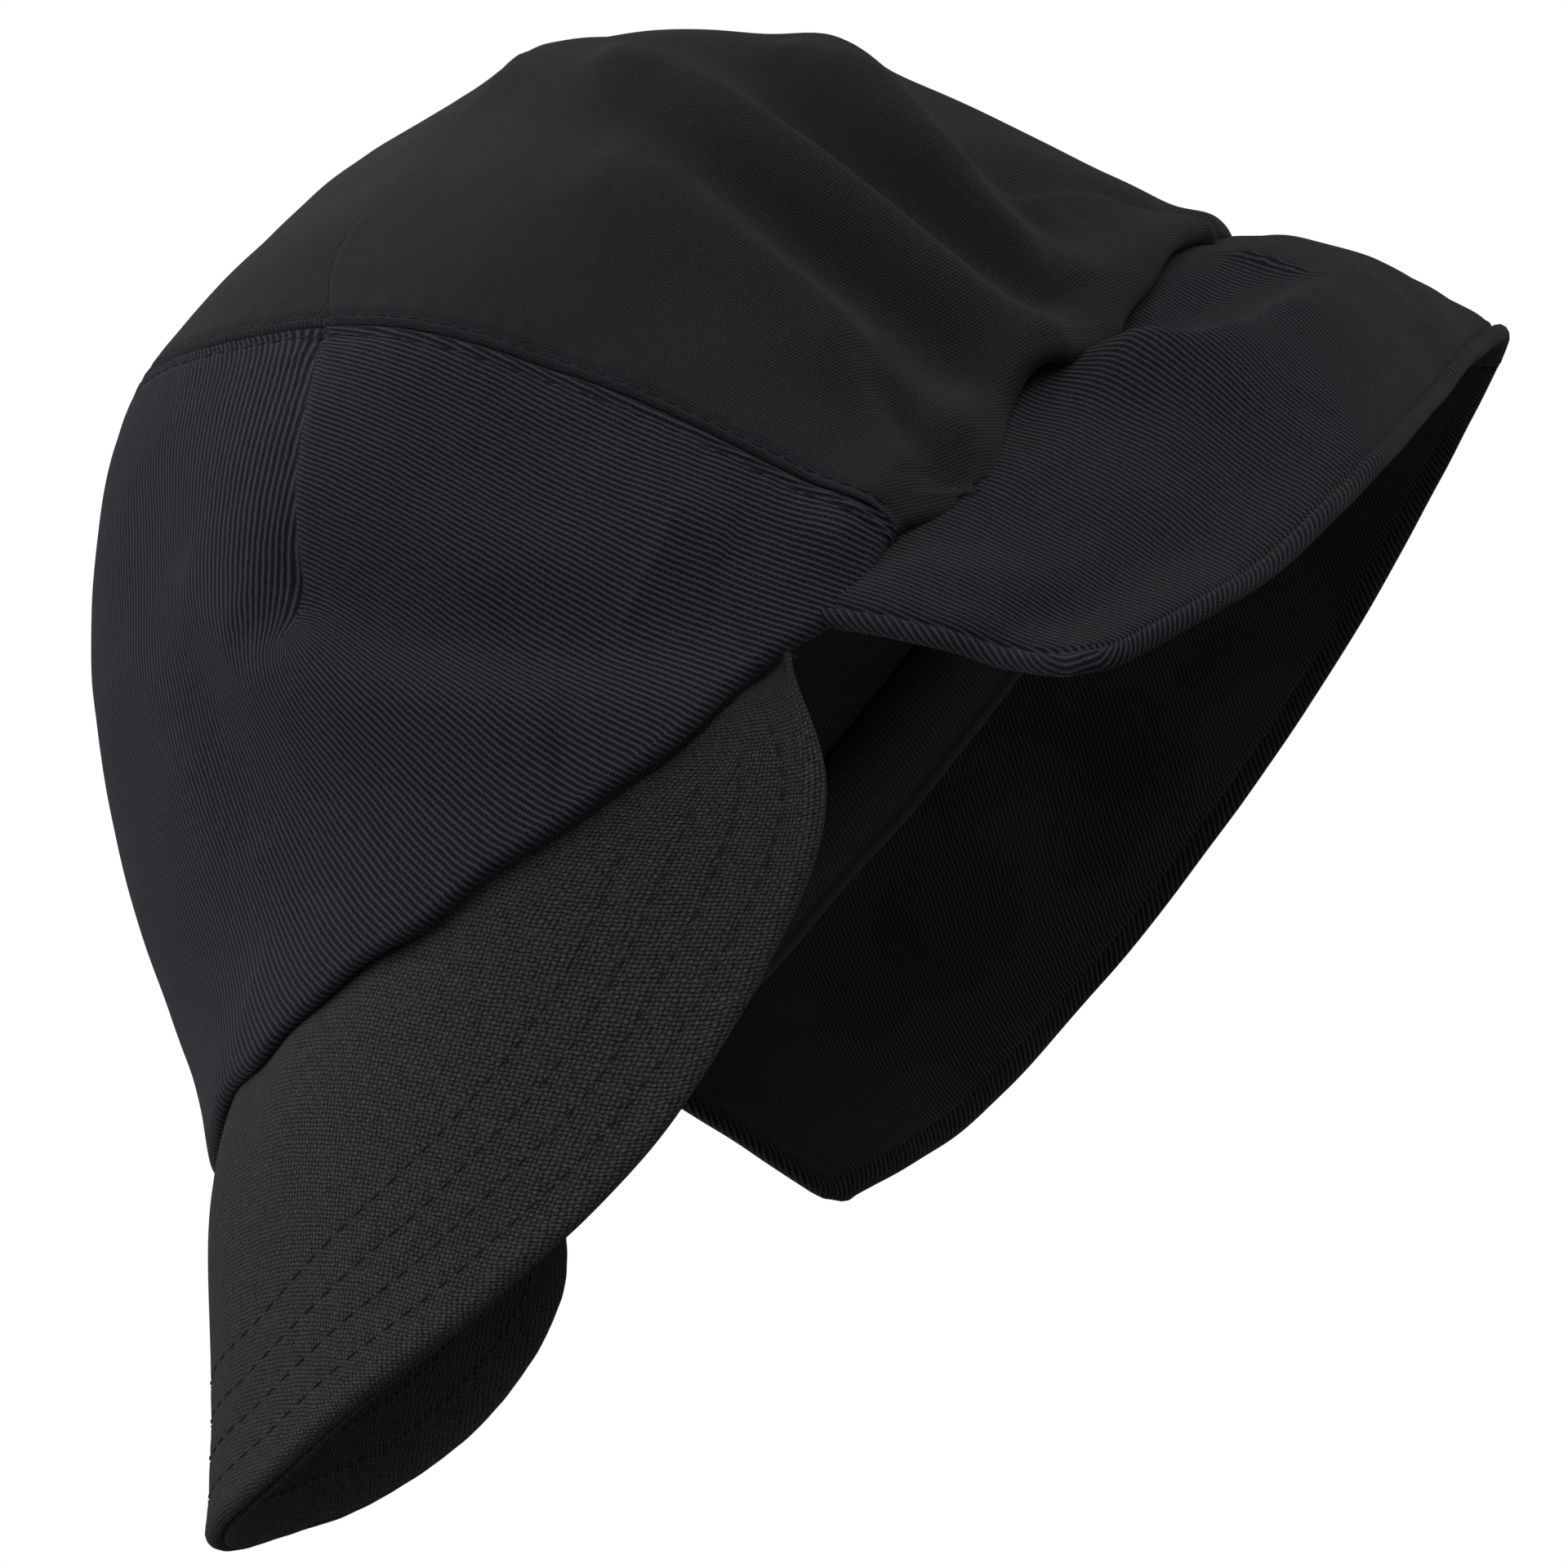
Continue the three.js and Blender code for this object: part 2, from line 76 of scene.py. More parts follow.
# The crown in sections from the rim to the top: where a section meets the middle plane in front
# (y, z), where it is widest (x, y, z), and where it meets the middle plane behind (y, z).
CROWN_SECTIONS = (
    (-101.5, 27.5, 78, 0, 0.5, 100, 0),
    (-90, 41, 75, 3, 25, 97, 18),
    (-76, 65, 69, 8, 49, 91, 41),
    (-58, 87, 61, 15, 70, 83, 62),
    (-33, 102, 45, 22, 87, 72, 81),
    (0, 107, 24, 28, 102, 53, 99),
    (30, 110, 0, 30, 110, 30, 110),
)
PAST_TOP = (53, 99, -24, 28, 102, 0, 107)  # the section that would follow, coming down again
CORNER_FULLNESS = 0.03  # how much fuller the crown is between its front, sides and back
PLAN_SCALE = 100.0  # one unit of the plan is about this many millimetres of cloth
CENTRE_SCALE = 130.0  # and this many along the middle panel
BULGE_REACH = 16.0  # the power of the plan's radius by which the rim's own forms fade upwards
# Where the rim hangs a little lower: angle, spread and drop.
RIM_BULGES = ((48, 18, 1.6), (96, 9, 1.5), (109, 5, 2.0), (205, 20, 1.2), (258, 9, 1.6), (312, 18, 1.6))
# Where the rolled hem lies a little higher than the rim: angle, spread and height.
HEM_LIFTS = (
    (76, 3.5, -1.4), (82, 2.5, 1.2), (89, 4, -4.0), (99.5, 3.5, 3.6), (112, 5, -0.8),
    (133, 11, 3.8), (232, 10, 2.0), (284, 6, 1.5),
)
HEM_SCALLOPS = ((0.3, 17, 1), (0.25, 29, 0))  # height, count round the rim and phase
# Where the soft crown stands a little fuller or flatter: angle, rise, spread and height.
FULLNESS = (
    (-10, 0.5, 24, -2.5), (15, 0.76, 17, 3.1), (110, 0.88, 17, -2.4), (120, 0.64, 10, 1.6),
    (138, 0.5, 12, 0.6), (143, 0.2, 18, -0.5),
)

# The band's seam from the left of the rim to the middle, and the left top seam from there back.
BAND_SEAM = ((0.985, -0.135), (0.76, -0.18), (0.55, -0.225), (0.345, -0.258), (0.165, -0.285), (0, -0.282))
TOP_SEAM = (
    (0.345, -0.258), (0.277, -0.165), (0.262, -0.03), (0.25, 0.16), (0.27, 0.45), (0.33, 0.72),
    (0.38, 0.925),
)
SEAM_END = 82.2  # the angle at which the band's seam reaches the rim
BAND_SEAM_TO_TOP_SEAM = 0.6  # the part of the band's seam at which the top seam starts
SIDE_PANEL_CORNER = 0.6  # the part of the top seam at which a side panel's grid has its corner
BAND_GRID_CORNER = 55.0  # the angle at which the band's grid has its lower corners
SEAM_ROWS = (1.5, 2.1)  # how far a seam's two rows of stitches lie from it

# The flap's ribs: angle at the rim, the lower end x, y, z, and how far the rib bows outwards.
FLAP_RIBS = (
    (71, 97, -24, -30.5, 1),
    (88, 98, 1, -38, 2),
    (106, 86, 38, -40, 3),
    (124, 69, 64, -39, 6.5),
    (145, 45, 98, -36, 6.5),
    (163, 25, 119, -35, 3),
    (180, -4, 126, -36, 3),
    (200, -34, 111, -41, 3),
    (222, -62, 91, -44, 3),
    (245, -84, 60, -45, 3),
    (266, -86, 24, -44, 3),
    (280, -78, -8, -37, 1),
)
FLAP_LENGTH = 400.0
FLAP_WIDTH = 45.0
FLAP_BOW_RISE = 0.3  # how far a rib bows upwards for each step outwards
FLAP_FOLD_START = 0.25  # the part of the width over which the folds grow from the seam

# The peak's edge from its left corner to its right one: x, y, z.
PEAK_EDGE = (
    (73, -33.5, 7.5), (69.5, -47.5, -12.5), (60, -65, -20.5), (48, -92, -24), (36, -117, -20.5),
    (24, -135, -15), (12, -146, -12), (0, -150, -10), (-12, -146, -11), (-24, -134, -14),
    (-37, -115, -19), (-49, -90, -22), (-60, -64, -19), (-69.5, -46.5, -9.5), (-73, -33.5, 7.5),
)
PEAK_HALF_ANGLE = 70.0
PEAK_ROWS = (6.0, 11.5, 17.0, 23.0)  # how far the peak's rows of stitches lie from its edge
PEAK_ROUNDING = 2.6  # how far the top cloth is domed, and which way
PEAK_ROUNDING_WAY = np.array([0.0, -0.6, 0.8])


def along(
    rows: Sequence[Sequence[float]] | Array, part: Array, after: Sequence[float] | None = None
) -> Array:
    """Follows a smooth curve through all rows of a table.

    Args:
        rows: the table, a row for each knot.
        part: where to read it, from 0 at the first row to 1 at the last.
        after: the row that would follow the last one, if the curve is to run on to it.

    Returns:
        An array with a row for each part.
    """
    table = np.asarray(rows, float)
    spans = len(table) - 1
    place = np.clip(np.asarray(part, float), 0, 1) * spans
    index = np.clip(np.floor(place).astype(int), 0, spans - 1)
    f = (place - index)[..., None]
    p1 = table[index]
    p2 = table[index + 1]
    p0 = np.where((index > 0)[..., None], table[np.maximum(index - 1, 0)], 2 * p1 - p2)
    end = 2 * p2 - p1 if after is None else np.asarray(after, float)
    p3 = np.where((index + 2 <= spans)[..., None], table[np.minimum(index + 2, spans)], end)
    bend = 2 * p0 - 5 * p1 + 4 * p2 - p3
    return 0.5 * (2 * p1 + (p2 - p0) * f + bend * f**2 + (3 * p1 - p0 - 3 * p2 + p3) * f**3)


def plan_point(angle: Array | float, rise: Array | float) -> Array:
    """Gives the point of the plan at an angle in degrees and a rise."""
    turn = np.radians(angle)
    return np.stack([(1 - rise) * np.sin(turn), -(1 - rise) * np.cos(turn)], -1)


def angle_of(plan: Array) -> Array:
    """Gives the angle of points of the plan, from -180 to 180 degrees."""
    return np.degrees(np.arctan2(plan[..., 0], -plan[..., 1]))


def unit(vectors: Array) -> Array:
    """Scales vectors to length 1."""
    return vectors / np.maximum(np.linalg.norm(vectors, axis=-1, keepdims=True), 1e-12)


def dot(a: Array, b: Array) -> Array:
    """Gives the dot products of two arrays of vectors."""
    return np.einsum("...i,...i->...", a, b)


def turned_to(vectors: Array, way: Array) -> Array:
    """Turns the vectors round that point against a way."""
    return vectors * np.where(dot(vectors, way) < 0, -1.0, 1.0)[..., None]


def reach_along(points: Array) -> Array:
    """Gives how far along a line of points each of them lies."""
    return np.concatenate([[0.0], np.cumsum(np.linalg.norm(np.diff(points, axis=0), axis=1))])


def read_along(where: Array, reach: Array, values: Array) -> Array:
    """Reads rows of values at distances along a line, given the distance of each row."""
    return np.stack([np.interp(where, reach, column) for column in values.T], -1)


def smooth_step(low: float, high: float, value: Array) -> Array:
    """Rises smoothly from 0 at low to 1 at high."""
    t = np.clip((value - low) / (high - low), 0, 1)
    return t * t * (3 - 2 * t)


def bell(distance: Array, width: float | Array) -> Array:
    """Falls smoothly from 1 at distance 0 to nearly nothing at twice the width."""
    return np.exp(-((distance / width) ** 2))


def bells(angle: Array, table: Sequence[Triple]) -> Array:
    """Adds up bells round the rim, given by their middle angles, spreads and heights."""
    turn = np.mod(angle, 360)
    return sum(height * bell(turn - middle, spread) for middle, spread, height in table)


def nearest_on_route(points: Array, route: Array) -> tuple[Array, Array, Array]:
    """Finds where points lie beside a route.

    Args:
        points: an array of points in two or three dimensions.
        route: the points of the route, in order.

    Returns:
        The distance to the route, the side of it (of a flat route; positive on its right), and the
        part of its length at the nearest point.
    """
    best = np.full(points.shape[:-1], np.inf)
    side = np.zeros_like(best)
    way = np.zeros_like(best)
    spans = len(route) - 1
    for k in range(spans):
        step = route[k + 1] - route[k]
        away = points - route[k]
        t = np.clip((away @ step) / max(step @ step, 1e-12), 0, 1)
        rest = away - t[..., None] * step
        distance = dot(rest, rest)
        nearer = distance < best
        best = np.where(nearer, distance, best)
        way = np.where(nearer, (k + t) / spans, way)
        side = np.where(nearer, away[..., 0] * step[1] - away[..., 1] * step[0], side)
    return np.sqrt(best), side, way


@dataclass(frozen=True)
class Fold:
    """A fold, ridge, dent or crease along a route over a flat pattern.

    The route is of (angle, rise) on the crown and of (part of length, part of width) on the flap.
    Its height is measured outwards, and falls away over the width before it and the width after it.
    """

    route: tuple[Pair, ...]
    height: float
    before: float
    after: float
    start: float = 0.15
    steps: int = 24

    def lift(self, flat: Array, to_flat: Callable[[Array], Array]) -> Array:
        """Gives how far this fold lifts the cloth.

        Args:
            flat: points of the flat pattern, in millimetres.
            to_flat: takes the route's numbers to the flat pattern.

        Returns:
            The lift of each point, in millimetres.
        """
        route = along(to_flat(np.array(self.route, float)), np.linspace(0, 1, self.steps + 1))
        reach = 3 * max(self.before, self.after)
        low = route.min(0) - reach
        high = route.max(0) + reach
        near = np.all((flat > low) & (flat < high), axis=-1)
        lift = np.zeros(flat.shape[:-1])
        distance, side, way = nearest_on_route(flat[near], route)
        width = np.where(side > 0, self.before, self.after)
        fade = np.sqrt(np.clip(np.sin(np.pi * (self.start + (1 - self.start) * way)), 0, 1))
        lift[near] = self.height * fade * bell(distance, width)
        return lift


# The broad folds. The solids have them too, in a quieter form.
BROAD_FOLDS = (
    Fold(((107, 0.7), (105, 0.36), (104, -0.02)), 5.0, 7, 5),
    Fold(((121, 0.46), (113, 0.33), (108.5, 0.03)), -3.8, 5.5, 5),
    Fold(((133, 0.46), (121, 0.32), (112, 0.06)), 3.4, 5.5, 5),
    Fold(((101, 0.5), (98.5, 0.26), (97.5, -0.02)), -3.6, 5, 4.5),
    Fold(((91, 0.46), (92.5, 0.26), (91, -0.02)), 3.0, 6, 5),
    Fold(((245, 0.64), (252, 0.36), (256, 0.02)), 2.6, 8, 10),
    Fold(((232, 0.56), (240, 0.3), (247, 0.04)), -2.6, 8, 8),
    Fold(((208, 0.46), (214, 0.26), (222, 0.02)), 1.8, 9, 9),
    Fold(((176, 0.36), (190, 0.24), (203, 0.16)), -1.8, 9, 9),
)
# Finer creases and dents of the cloth.
FINE_FOLDS = (
    Fold(((104, 0.57), (104, 0.445), (104.5, 0.318), (103.5, 0.16), (104, 0.01)), 1.6, 3.2, 2.4),
    Fold(((118, 0.46), (113.5, 0.34), (110.5, 0.2), (108.5, 0.05)), -1.2, 3.5, 3.5),
    Fold(
        ((126, 0.47), (123, 0.362), (117, 0.253), (113, 0.143), (111.7, 0.09), (116, 0.085), (122, 0.105)),
        2.0,
        3,
        2.4,
    ),
    Fold(((117.5, 0.17), (119, 0.13)), -1.6, 4, 4),
    Fold(((92.5, 0.42), (92.5, 0.3), (93, 0.22), (92.3, 0.12), (91.5, 0.03)), 1.4, 3.4, 2.4),
    Fold(((90.5, 0.17), (89, 0.11), (87, 0.04)), 1.5, 3, 2.5),
    Fold(((92, 0.14), (89.5, 0.08), (87.5, 0.01)), -3.6, 3.2, 3.6),
    Fold(((78, 0.05), (95, 0.045), (115, 0.045), (140, 0.04), (170, 0.04)), 2.8, 3.6, 3.6),
    Fold(((41, 0.34), (45.5, 0.28), (52.5, 0.2), (60, 0.12), (68.5, 0.06)), -4.8, 5.5, 6.5),
    Fold(((58.5, 0.35), (63, 0.27), (65.5, 0.15)), -2.4, 7, 8),
    Fold(((69, 0.22), (72, 0.11)), 1.6, 6, 5),
    Fold(((26, 0.41), (33, 0.31), (41, 0.22), (52, 0.08)), 3.2, 7, 5),
    Fold(((37.5, 0.35), (34.5, 0.34), (33, 0.37)), -1.4, 3.5, 3.5),
    Fold(((20, 0.5), (24, 0.36), (22, 0.2)), -2.2, 8, 8),
    Fold(((50, 0.55), (44.5, 0.463), (41, 0.409), (37.5, 0.35)), -1.2, 6, 0.6, 0.0),
    Fold(((51, 0.55), (45.3, 0.463), (41.8, 0.409), (38.3, 0.35)), 1.0, 0.9, 9, 0.0),
    Fold(((130, 0.138), (124, 0.13), (119, 0.125)), 0.7, 3, 3),
    Fold(((120, 0.222), (121, 0.195), (131, 0.141), (136.5, 0.069), (140, 0.034)), -2.6, 1.2, 4.5),
    Fold(((12, 0.5), (8, 0.3), (14, 0.1)), -0.7, 12, 12),
    Fold(((-20, 0.46), (-26, 0.3), (-32, 0.12)), 0.9, 12, 14),
    Fold(((262, 0.5), (268, 0.3), (272, 0.08)), -1.0, 9, 9),
    Fold(((-58, 0.36), (-66, 0.22), (-74, 0.08)), -0.9, 8, 8),
)
# The front band's left dart, a sharp seam that runs down from the band's seam and dies out.
DART_ROUTE = ((52, 0.57), (47.5, 0.51), (44.5, 0.463), (41, 0.409), (38, 0.36), (35.5, 0.319))
FLAP_FOLDS = (
    Fold(((0.0, 0.7), (0.06, 0.76), (0.12, 0.78), (0.2, 0.72)), -1.8, 6, 6, 0.3),
    Fold(((0.0, 0.08), (0.12, 0.07), (0.28, 0.07), (0.36, 0.07)), -3.4, 5, 5, 0.1),
    Fold(((0.17, -0.1), (0.184, 0.2), (0.198, 0.4), (0.25, 0.52), (0.33, 0.58)), 3.6, 3.4, 13),
    Fold(((0.212, 0.0), (0.24, 0.2), (0.3, 0.34)), -4.6, 8, 7),
    Fold(((0.07, 0.3), (0.1, 0.6), (0.12, 1.1)), -1.6, 12, 12),
    Fold(((0.6, 0.7), (0.75, 0.62), (0.9, 0.66)), 1.8, 8, 8),
    Fold(((0.178, 0.06), (0.188, 0.25), (0.2, 0.42), (0.26, 0.54)), 1.0, 2, 4),
    Fold(((0.135, 0.0), (0.15, 0.3), (0.16, 0.7)), -0.7, 8, 8),
    Fold(((0.4, 0.3), (0.47, 0.5), (0.5, 0.9)), -1.2, 12, 12),
    Fold(((0.55, 0.2), (0.62, 0.45), (0.7, 0.5)), -1.0, 9, 9),
)


def waves(points: Array, length: float, seed: int, count: int = 7) -> Array:
    """Adds up a few slow sine waves in fixed random directions.

    Args:
        points: where to read them, in millimetres.
        length: the shortest wave, in millimetres.
        seed: picks the directions.
        count: the number of waves.

    Returns:
        A value of about -1 to 1 for each point.
    """
    chance = np.random.default_rng(seed)
    total = np.zeros(points.shape[:-1])
    for _ in range(count):
        way = unit(chance.normal(size=points.shape[-1]))
        size = length * chance.uniform(1.0, 2.2)
        total += np.sin(2 * math.pi * (points @ way) / size + chance.uniform(0, 2 * math.pi))
    return total / math.sqrt(count)


class PlanCurve:
    """A curve of the plan that is read at even distances."""

    def __init__(self, points: Array) -> None:
        """Keeps the points and how far along the curve each lies.

        Args:
            points: points of the plan, close together.
        """
        reach = reach_along(points)
        self.points = points
        self.reach = reach / reach[-1]

    def __call__(self, part: Array) -> Array:
        """Gives the points at parts of the curve's length."""
        return read_along(part, self.reach, self.points)

    @staticmethod
    def arc(start: float, end: float) -> "PlanCurve":
        """Follows the rim from one angle to another."""
        return PlanCurve(plan_point(np.linspace(start, end, 201), 0.0))

    @staticmethod
    def seam(table: Sequence[Sequence[float]], start: float, end: float, side: int = 1) -> "PlanCurve":
        """Follows a seam between two parts of its table, on the left side or mirrored.

        Args:
            table: the seam's points on the plan.
            start: the part of the table at which the curve starts.
            end: the part at which it ends.
            side: 1 for the left side, -1 for the right.

        Returns:
            The curve.
        """
        points = along(table, np.linspace(start, end, 201))
        return PlanCurve(points * np.array([side, 1]))


WHOLE_BAND_SEAM = tuple((-left, back) for left, back in BAND_SEAM) + BAND_SEAM[-2::-1]


def seam_curves() -> tuple[PlanCurve, PlanCurve, PlanCurve]:
    """Gives the band's seam and the two top seams."""
    left, right = (PlanCurve.seam(TOP_SEAM, 0, 1, side) for side in (1, -1))
    return PlanCurve.seam(WHOLE_BAND_SEAM, 0, 1), left, right


def dart_line(side: int = 1) -> Array:
    """Gives points of the plan along the left dart, or along the right one for side -1."""
    angle, rise = along(DART_ROUTE, np.linspace(0, 1, 25)).T
    return plan_point(side * angle, rise)


@dataclass(frozen=True)
class CrownForm:
    """The outer surface of the crown, which all its panels and seams lie on.

    A width is half of what shows, and a place is a distance from the seam.
    """

    groove: float = 0.3  # the line where the band meets the crown top
    groove_width: float = 0.6
    allowance: float = 0.25  # how far the turned edges under that seam lift the cloth
    allowance_start: float = 2.0
    allowance_end: float = 9.0
    cord: float = 0.22  # the thin ridge close beside it
    cord_place: float = 0.8
    cord_width: float = 0.45
    row_dent: float = 0.2  # how far a row of stitches presses the cloth in
    row_width: float = 0.5
    pucker: float = 0.07  # the small waves that the stitches draw it into
    pucker_length: float = 5.6
    pucker_place: float = 3.4
    pucker_width: float = 3.0
    pucker_drifts: float = 23.0  # how often their spacing changes along the seam
    step: float = 0.35  # how far the side panels stand above the middle one at their seams
    step_width: float = 0.4
    step_fade: float = 5.0
    top_groove: float = 0.15
    dart_groove: float = 0.8
    unevenness: float = 0.28
    height: float = 118.0  # the length of cloth from the rim to the top
    roll: float = 1.5  # radius of the rolled hem, and more of it at the sides and back
    roll_more: float = 0.8
    turn_step: float = 0.4  # the steps, in degrees and in rise, by which the ways along the cloth are found
    rise_step: float = 0.006
    smooth_rise_step: float = 0.02
    seam_end_width: float = 1.8  # the spread, in degrees, of the smooth ways at the end of the band's seam

    def smooth(self, plan: Array) -> Array:
        """Gives the points over the plan before folds and seams.

        Args:
            plan: points of the plan.

        Returns:
            The points, in millimetres.
        """
        radius = np.maximum(np.hypot(plan[..., 0], plan[..., 1]), 1e-9)
        sine = plan[..., 0] / radius
        cosine = -plan[..., 1] / radius
        row = along(CROWN_SECTIONS, 1 - radius, PAST_TOP)
        front_y, front_z, side_x, side_y, side_z, back_y, back_z = (row[..., k] for k in range(7))
        full = 1 + CORNER_FULLNESS * (2 * sine * cosine) ** 2
        front = cosine > 0
        reach = np.where(front, side_y - front_y, back_y - side_y)
        height = np.where(front, front_z, back_z)
        x = side_x * sine * full
        y = side_y - reach * cosine * full
        z = side_z * sine**2 + height * cosine**2
        return np.stack([x, y, z], -1)

    def ways(self, plan: Array) -> tuple[Array, Array]:
        """Gives how the smooth crown's points move with the plan.

        Args:
            plan: points of the plan.

        Returns:
            The moves for one unit to the left and for one unit backwards.
        """
        step = 1e-3
        left = np.array([step, 0.0])
        back = np.array([0.0, step])
        left_way = (self.smooth(plan + left) - self.smooth(plan - left)) / (2 * step)
        back_way = (self.smooth(plan + back) - self.smooth(plan - back)) / (2 * step)
        return left_way, back_way

    def smooth_normal(self, plan: Array) -> Array:
        """Gives the outward normals before folds and seams."""
        return turned_to(unit(np.cross(*self.ways(plan))), self.smooth(plan) - HEAD_MIDDLE)

    def seam_lift(self, place: Array) -> Array:
        """Gives how far the seams and the darts lift or sink the cloth.

        Args:
            place: points on the smooth crown.

        Returns:
            The lift of each point, in millimetres.
        """
        lift = np.zeros(place.shape[:-1])
        parts = np.linspace(0, 1, 61)
        band, *tops = seam_curves()
        route = self.smooth(band(parts))
        distance, _, way = nearest_on_route(place, route)
        lift += self.allowance * (1 - smooth_step(self.allowance_start, self.allowance_end, distance))
        lift += self.cord * bell(distance - self.cord_place, self.cord_width)
        lift -= (self.groove + self.allowance) * bell(distance, self.groove_width)
        for row in SEAM_ROWS:
            lift -= self.row_dent * bell(distance - row, self.row_width)
        uneven = 2 * np.sin(way * self.pucker_drifts)
        beat = np.sin(2 * math.pi * way * reach_along(route)[-1] / self.pucker_length + uneven)
        lift += self.pucker * beat * bell(distance - self.pucker_place, self.pucker_width)
        for curve, outer in zip(tops, (1, -1)):
            distance, side, _ = nearest_on_route(place, self.smooth(curve(parts)))
            beyond = outer * np.sign(side) * distance
            raised = 0.5 + 0.5 * np.tanh(beyond / self.step_width)
            lift += self.step * raised * np.exp(-np.maximum(beyond, 0) / self.step_fade)
            lift -= self.top_groove * bell(distance, self.groove_width)
        for side in (1, -1):
            distance, _, way = nearest_on_route(place, self.smooth(dart_line(side)))
            fade = 1 - smooth_step(0.8, 1.0, way)
            lift -= self.dart_groove * fade * bell(distance, self.groove_width)
        return lift

    def hem_lift(self, angle: Array) -> Array:
        """Gives how far above the rim the rolled hem ends, by the angle in degrees."""
        turn = np.radians(np.mod(angle, 360))
        return bells(angle, HEM_LIFTS) + sum(h * np.sin(turn * n + lead) for h, n, lead in HEM_SCALLOPS)

    def hem_radius(self, angle: Array) -> Array:
        """Gives the radius of the rolled hem by the angle."""
        return self.roll + self.roll_more * smooth_step(60, 85, np.abs(angle))

    def drawn_up(self, plan: Array) -> Array:
        """Draws the plan's edge inwards, so that the rolled hem ends level with the rim.

        Args:
            plan: points of the plan.

        Returns:
            The points after that.
        """
        angle = angle_of(plan)
        radius = np.hypot(plan[..., 0], plan[..., 1])
        up = self.hem_radius(angle) + self.hem_lift(angle)
        return plan * (1 - up / self.height * radius**BULGE_REACH)[..., None]

    def point(self, plan: Array) -> Array:
        """Gives the points of the outer cloth, with its folds, seams and bulging edge.

        Args:
            plan: points of the plan.

        Returns:
            The points, in millimetres.
        """
        plan = self.drawn_up(plan)
        place = self.smooth(plan)
        flat = plan * PLAN_SCALE
        lift = self.seam_lift(place)
        for fold in BROAD_FOLDS + FINE_FOLDS:
            lift += fold.lift(flat, lambda route: plan_point(route[:, 0], route[:, 1]) * PLAN_SCALE)
        lift += self.unevenness * (waves(place, 26.0, 5) + 0.3 * waves(place, 10.0, 6))
        for angle, rise, spread, height in FULLNESS:
            away = np.linalg.norm(flat - plan_point(angle, rise) * PLAN_SCALE, axis=-1)
            lift += height * bell(away, spread)
        place = place + self.smooth_normal(plan) * lift[..., None]
        radius = np.hypot(plan[..., 0], plan[..., 1])
        place[..., 2] -= bells(angle_of(plan), RIM_BULGES) * radius**BULGE_REACH
        return place

    def frames(self, plan: Array) -> tuple[Array, Array, Array]:
        """Gives points of the crown with the ways outwards and down along the cloth.

        Args:
            plan: points of the plan, not at its centre.

        Returns:
            The points, their outward normals and the unit vectors down along the cloth.
        """
        at = self.point(plan)
        angle = angle_of(plan)
        rise = 1 - np.hypot(plan[..., 0], plan[..., 1])
        turns = self.turn_step, -self.turn_step
        after, before = (self.point(plan_point(angle + turn, rise)) for turn in turns)
        round_way = unit(after - before)
        up_way = self.point(plan_point(angle, rise + self.rise_step)) - at
        normal = turned_to(unit(np.cross(round_way, up_way)), at - HEAD_MIDDLE)
        down = turned_to(unit(np.cross(normal, round_way)), -up_way)
        seam_end = bell(np.abs(angle) - SEAM_END, self.seam_end_width)[..., None]
        normal = unit(normal * (1 - seam_end) + self.smooth_normal(plan) * seam_end)
        higher = plan_point(angle, rise + self.smooth_rise_step)
        smooth_down = unit(self.smooth(plan) - self.smooth(higher))
        down = unit(down * (1 - seam_end) + smooth_down * seam_end)
        return at, normal, down

    def shifted(self, plan: Array, move: Array) -> Array:
        """Moves points of the plan.

        Args:
            plan: the points.
            move: how far each moves along the cloth, in millimetres.

        Returns:
            The points after that.
        """
        a, b = self.ways(plan)
        aa, ab, bb, ma, mb = (dot(p, q) for p, q in ((a, a), (a, b), (b, b), (a, move), (b, move)))
        size = aa * bb - ab * ab
        return plan + np.stack([(ma * bb - mb * ab) / size, (mb * aa - ma * ab) / size], -1)


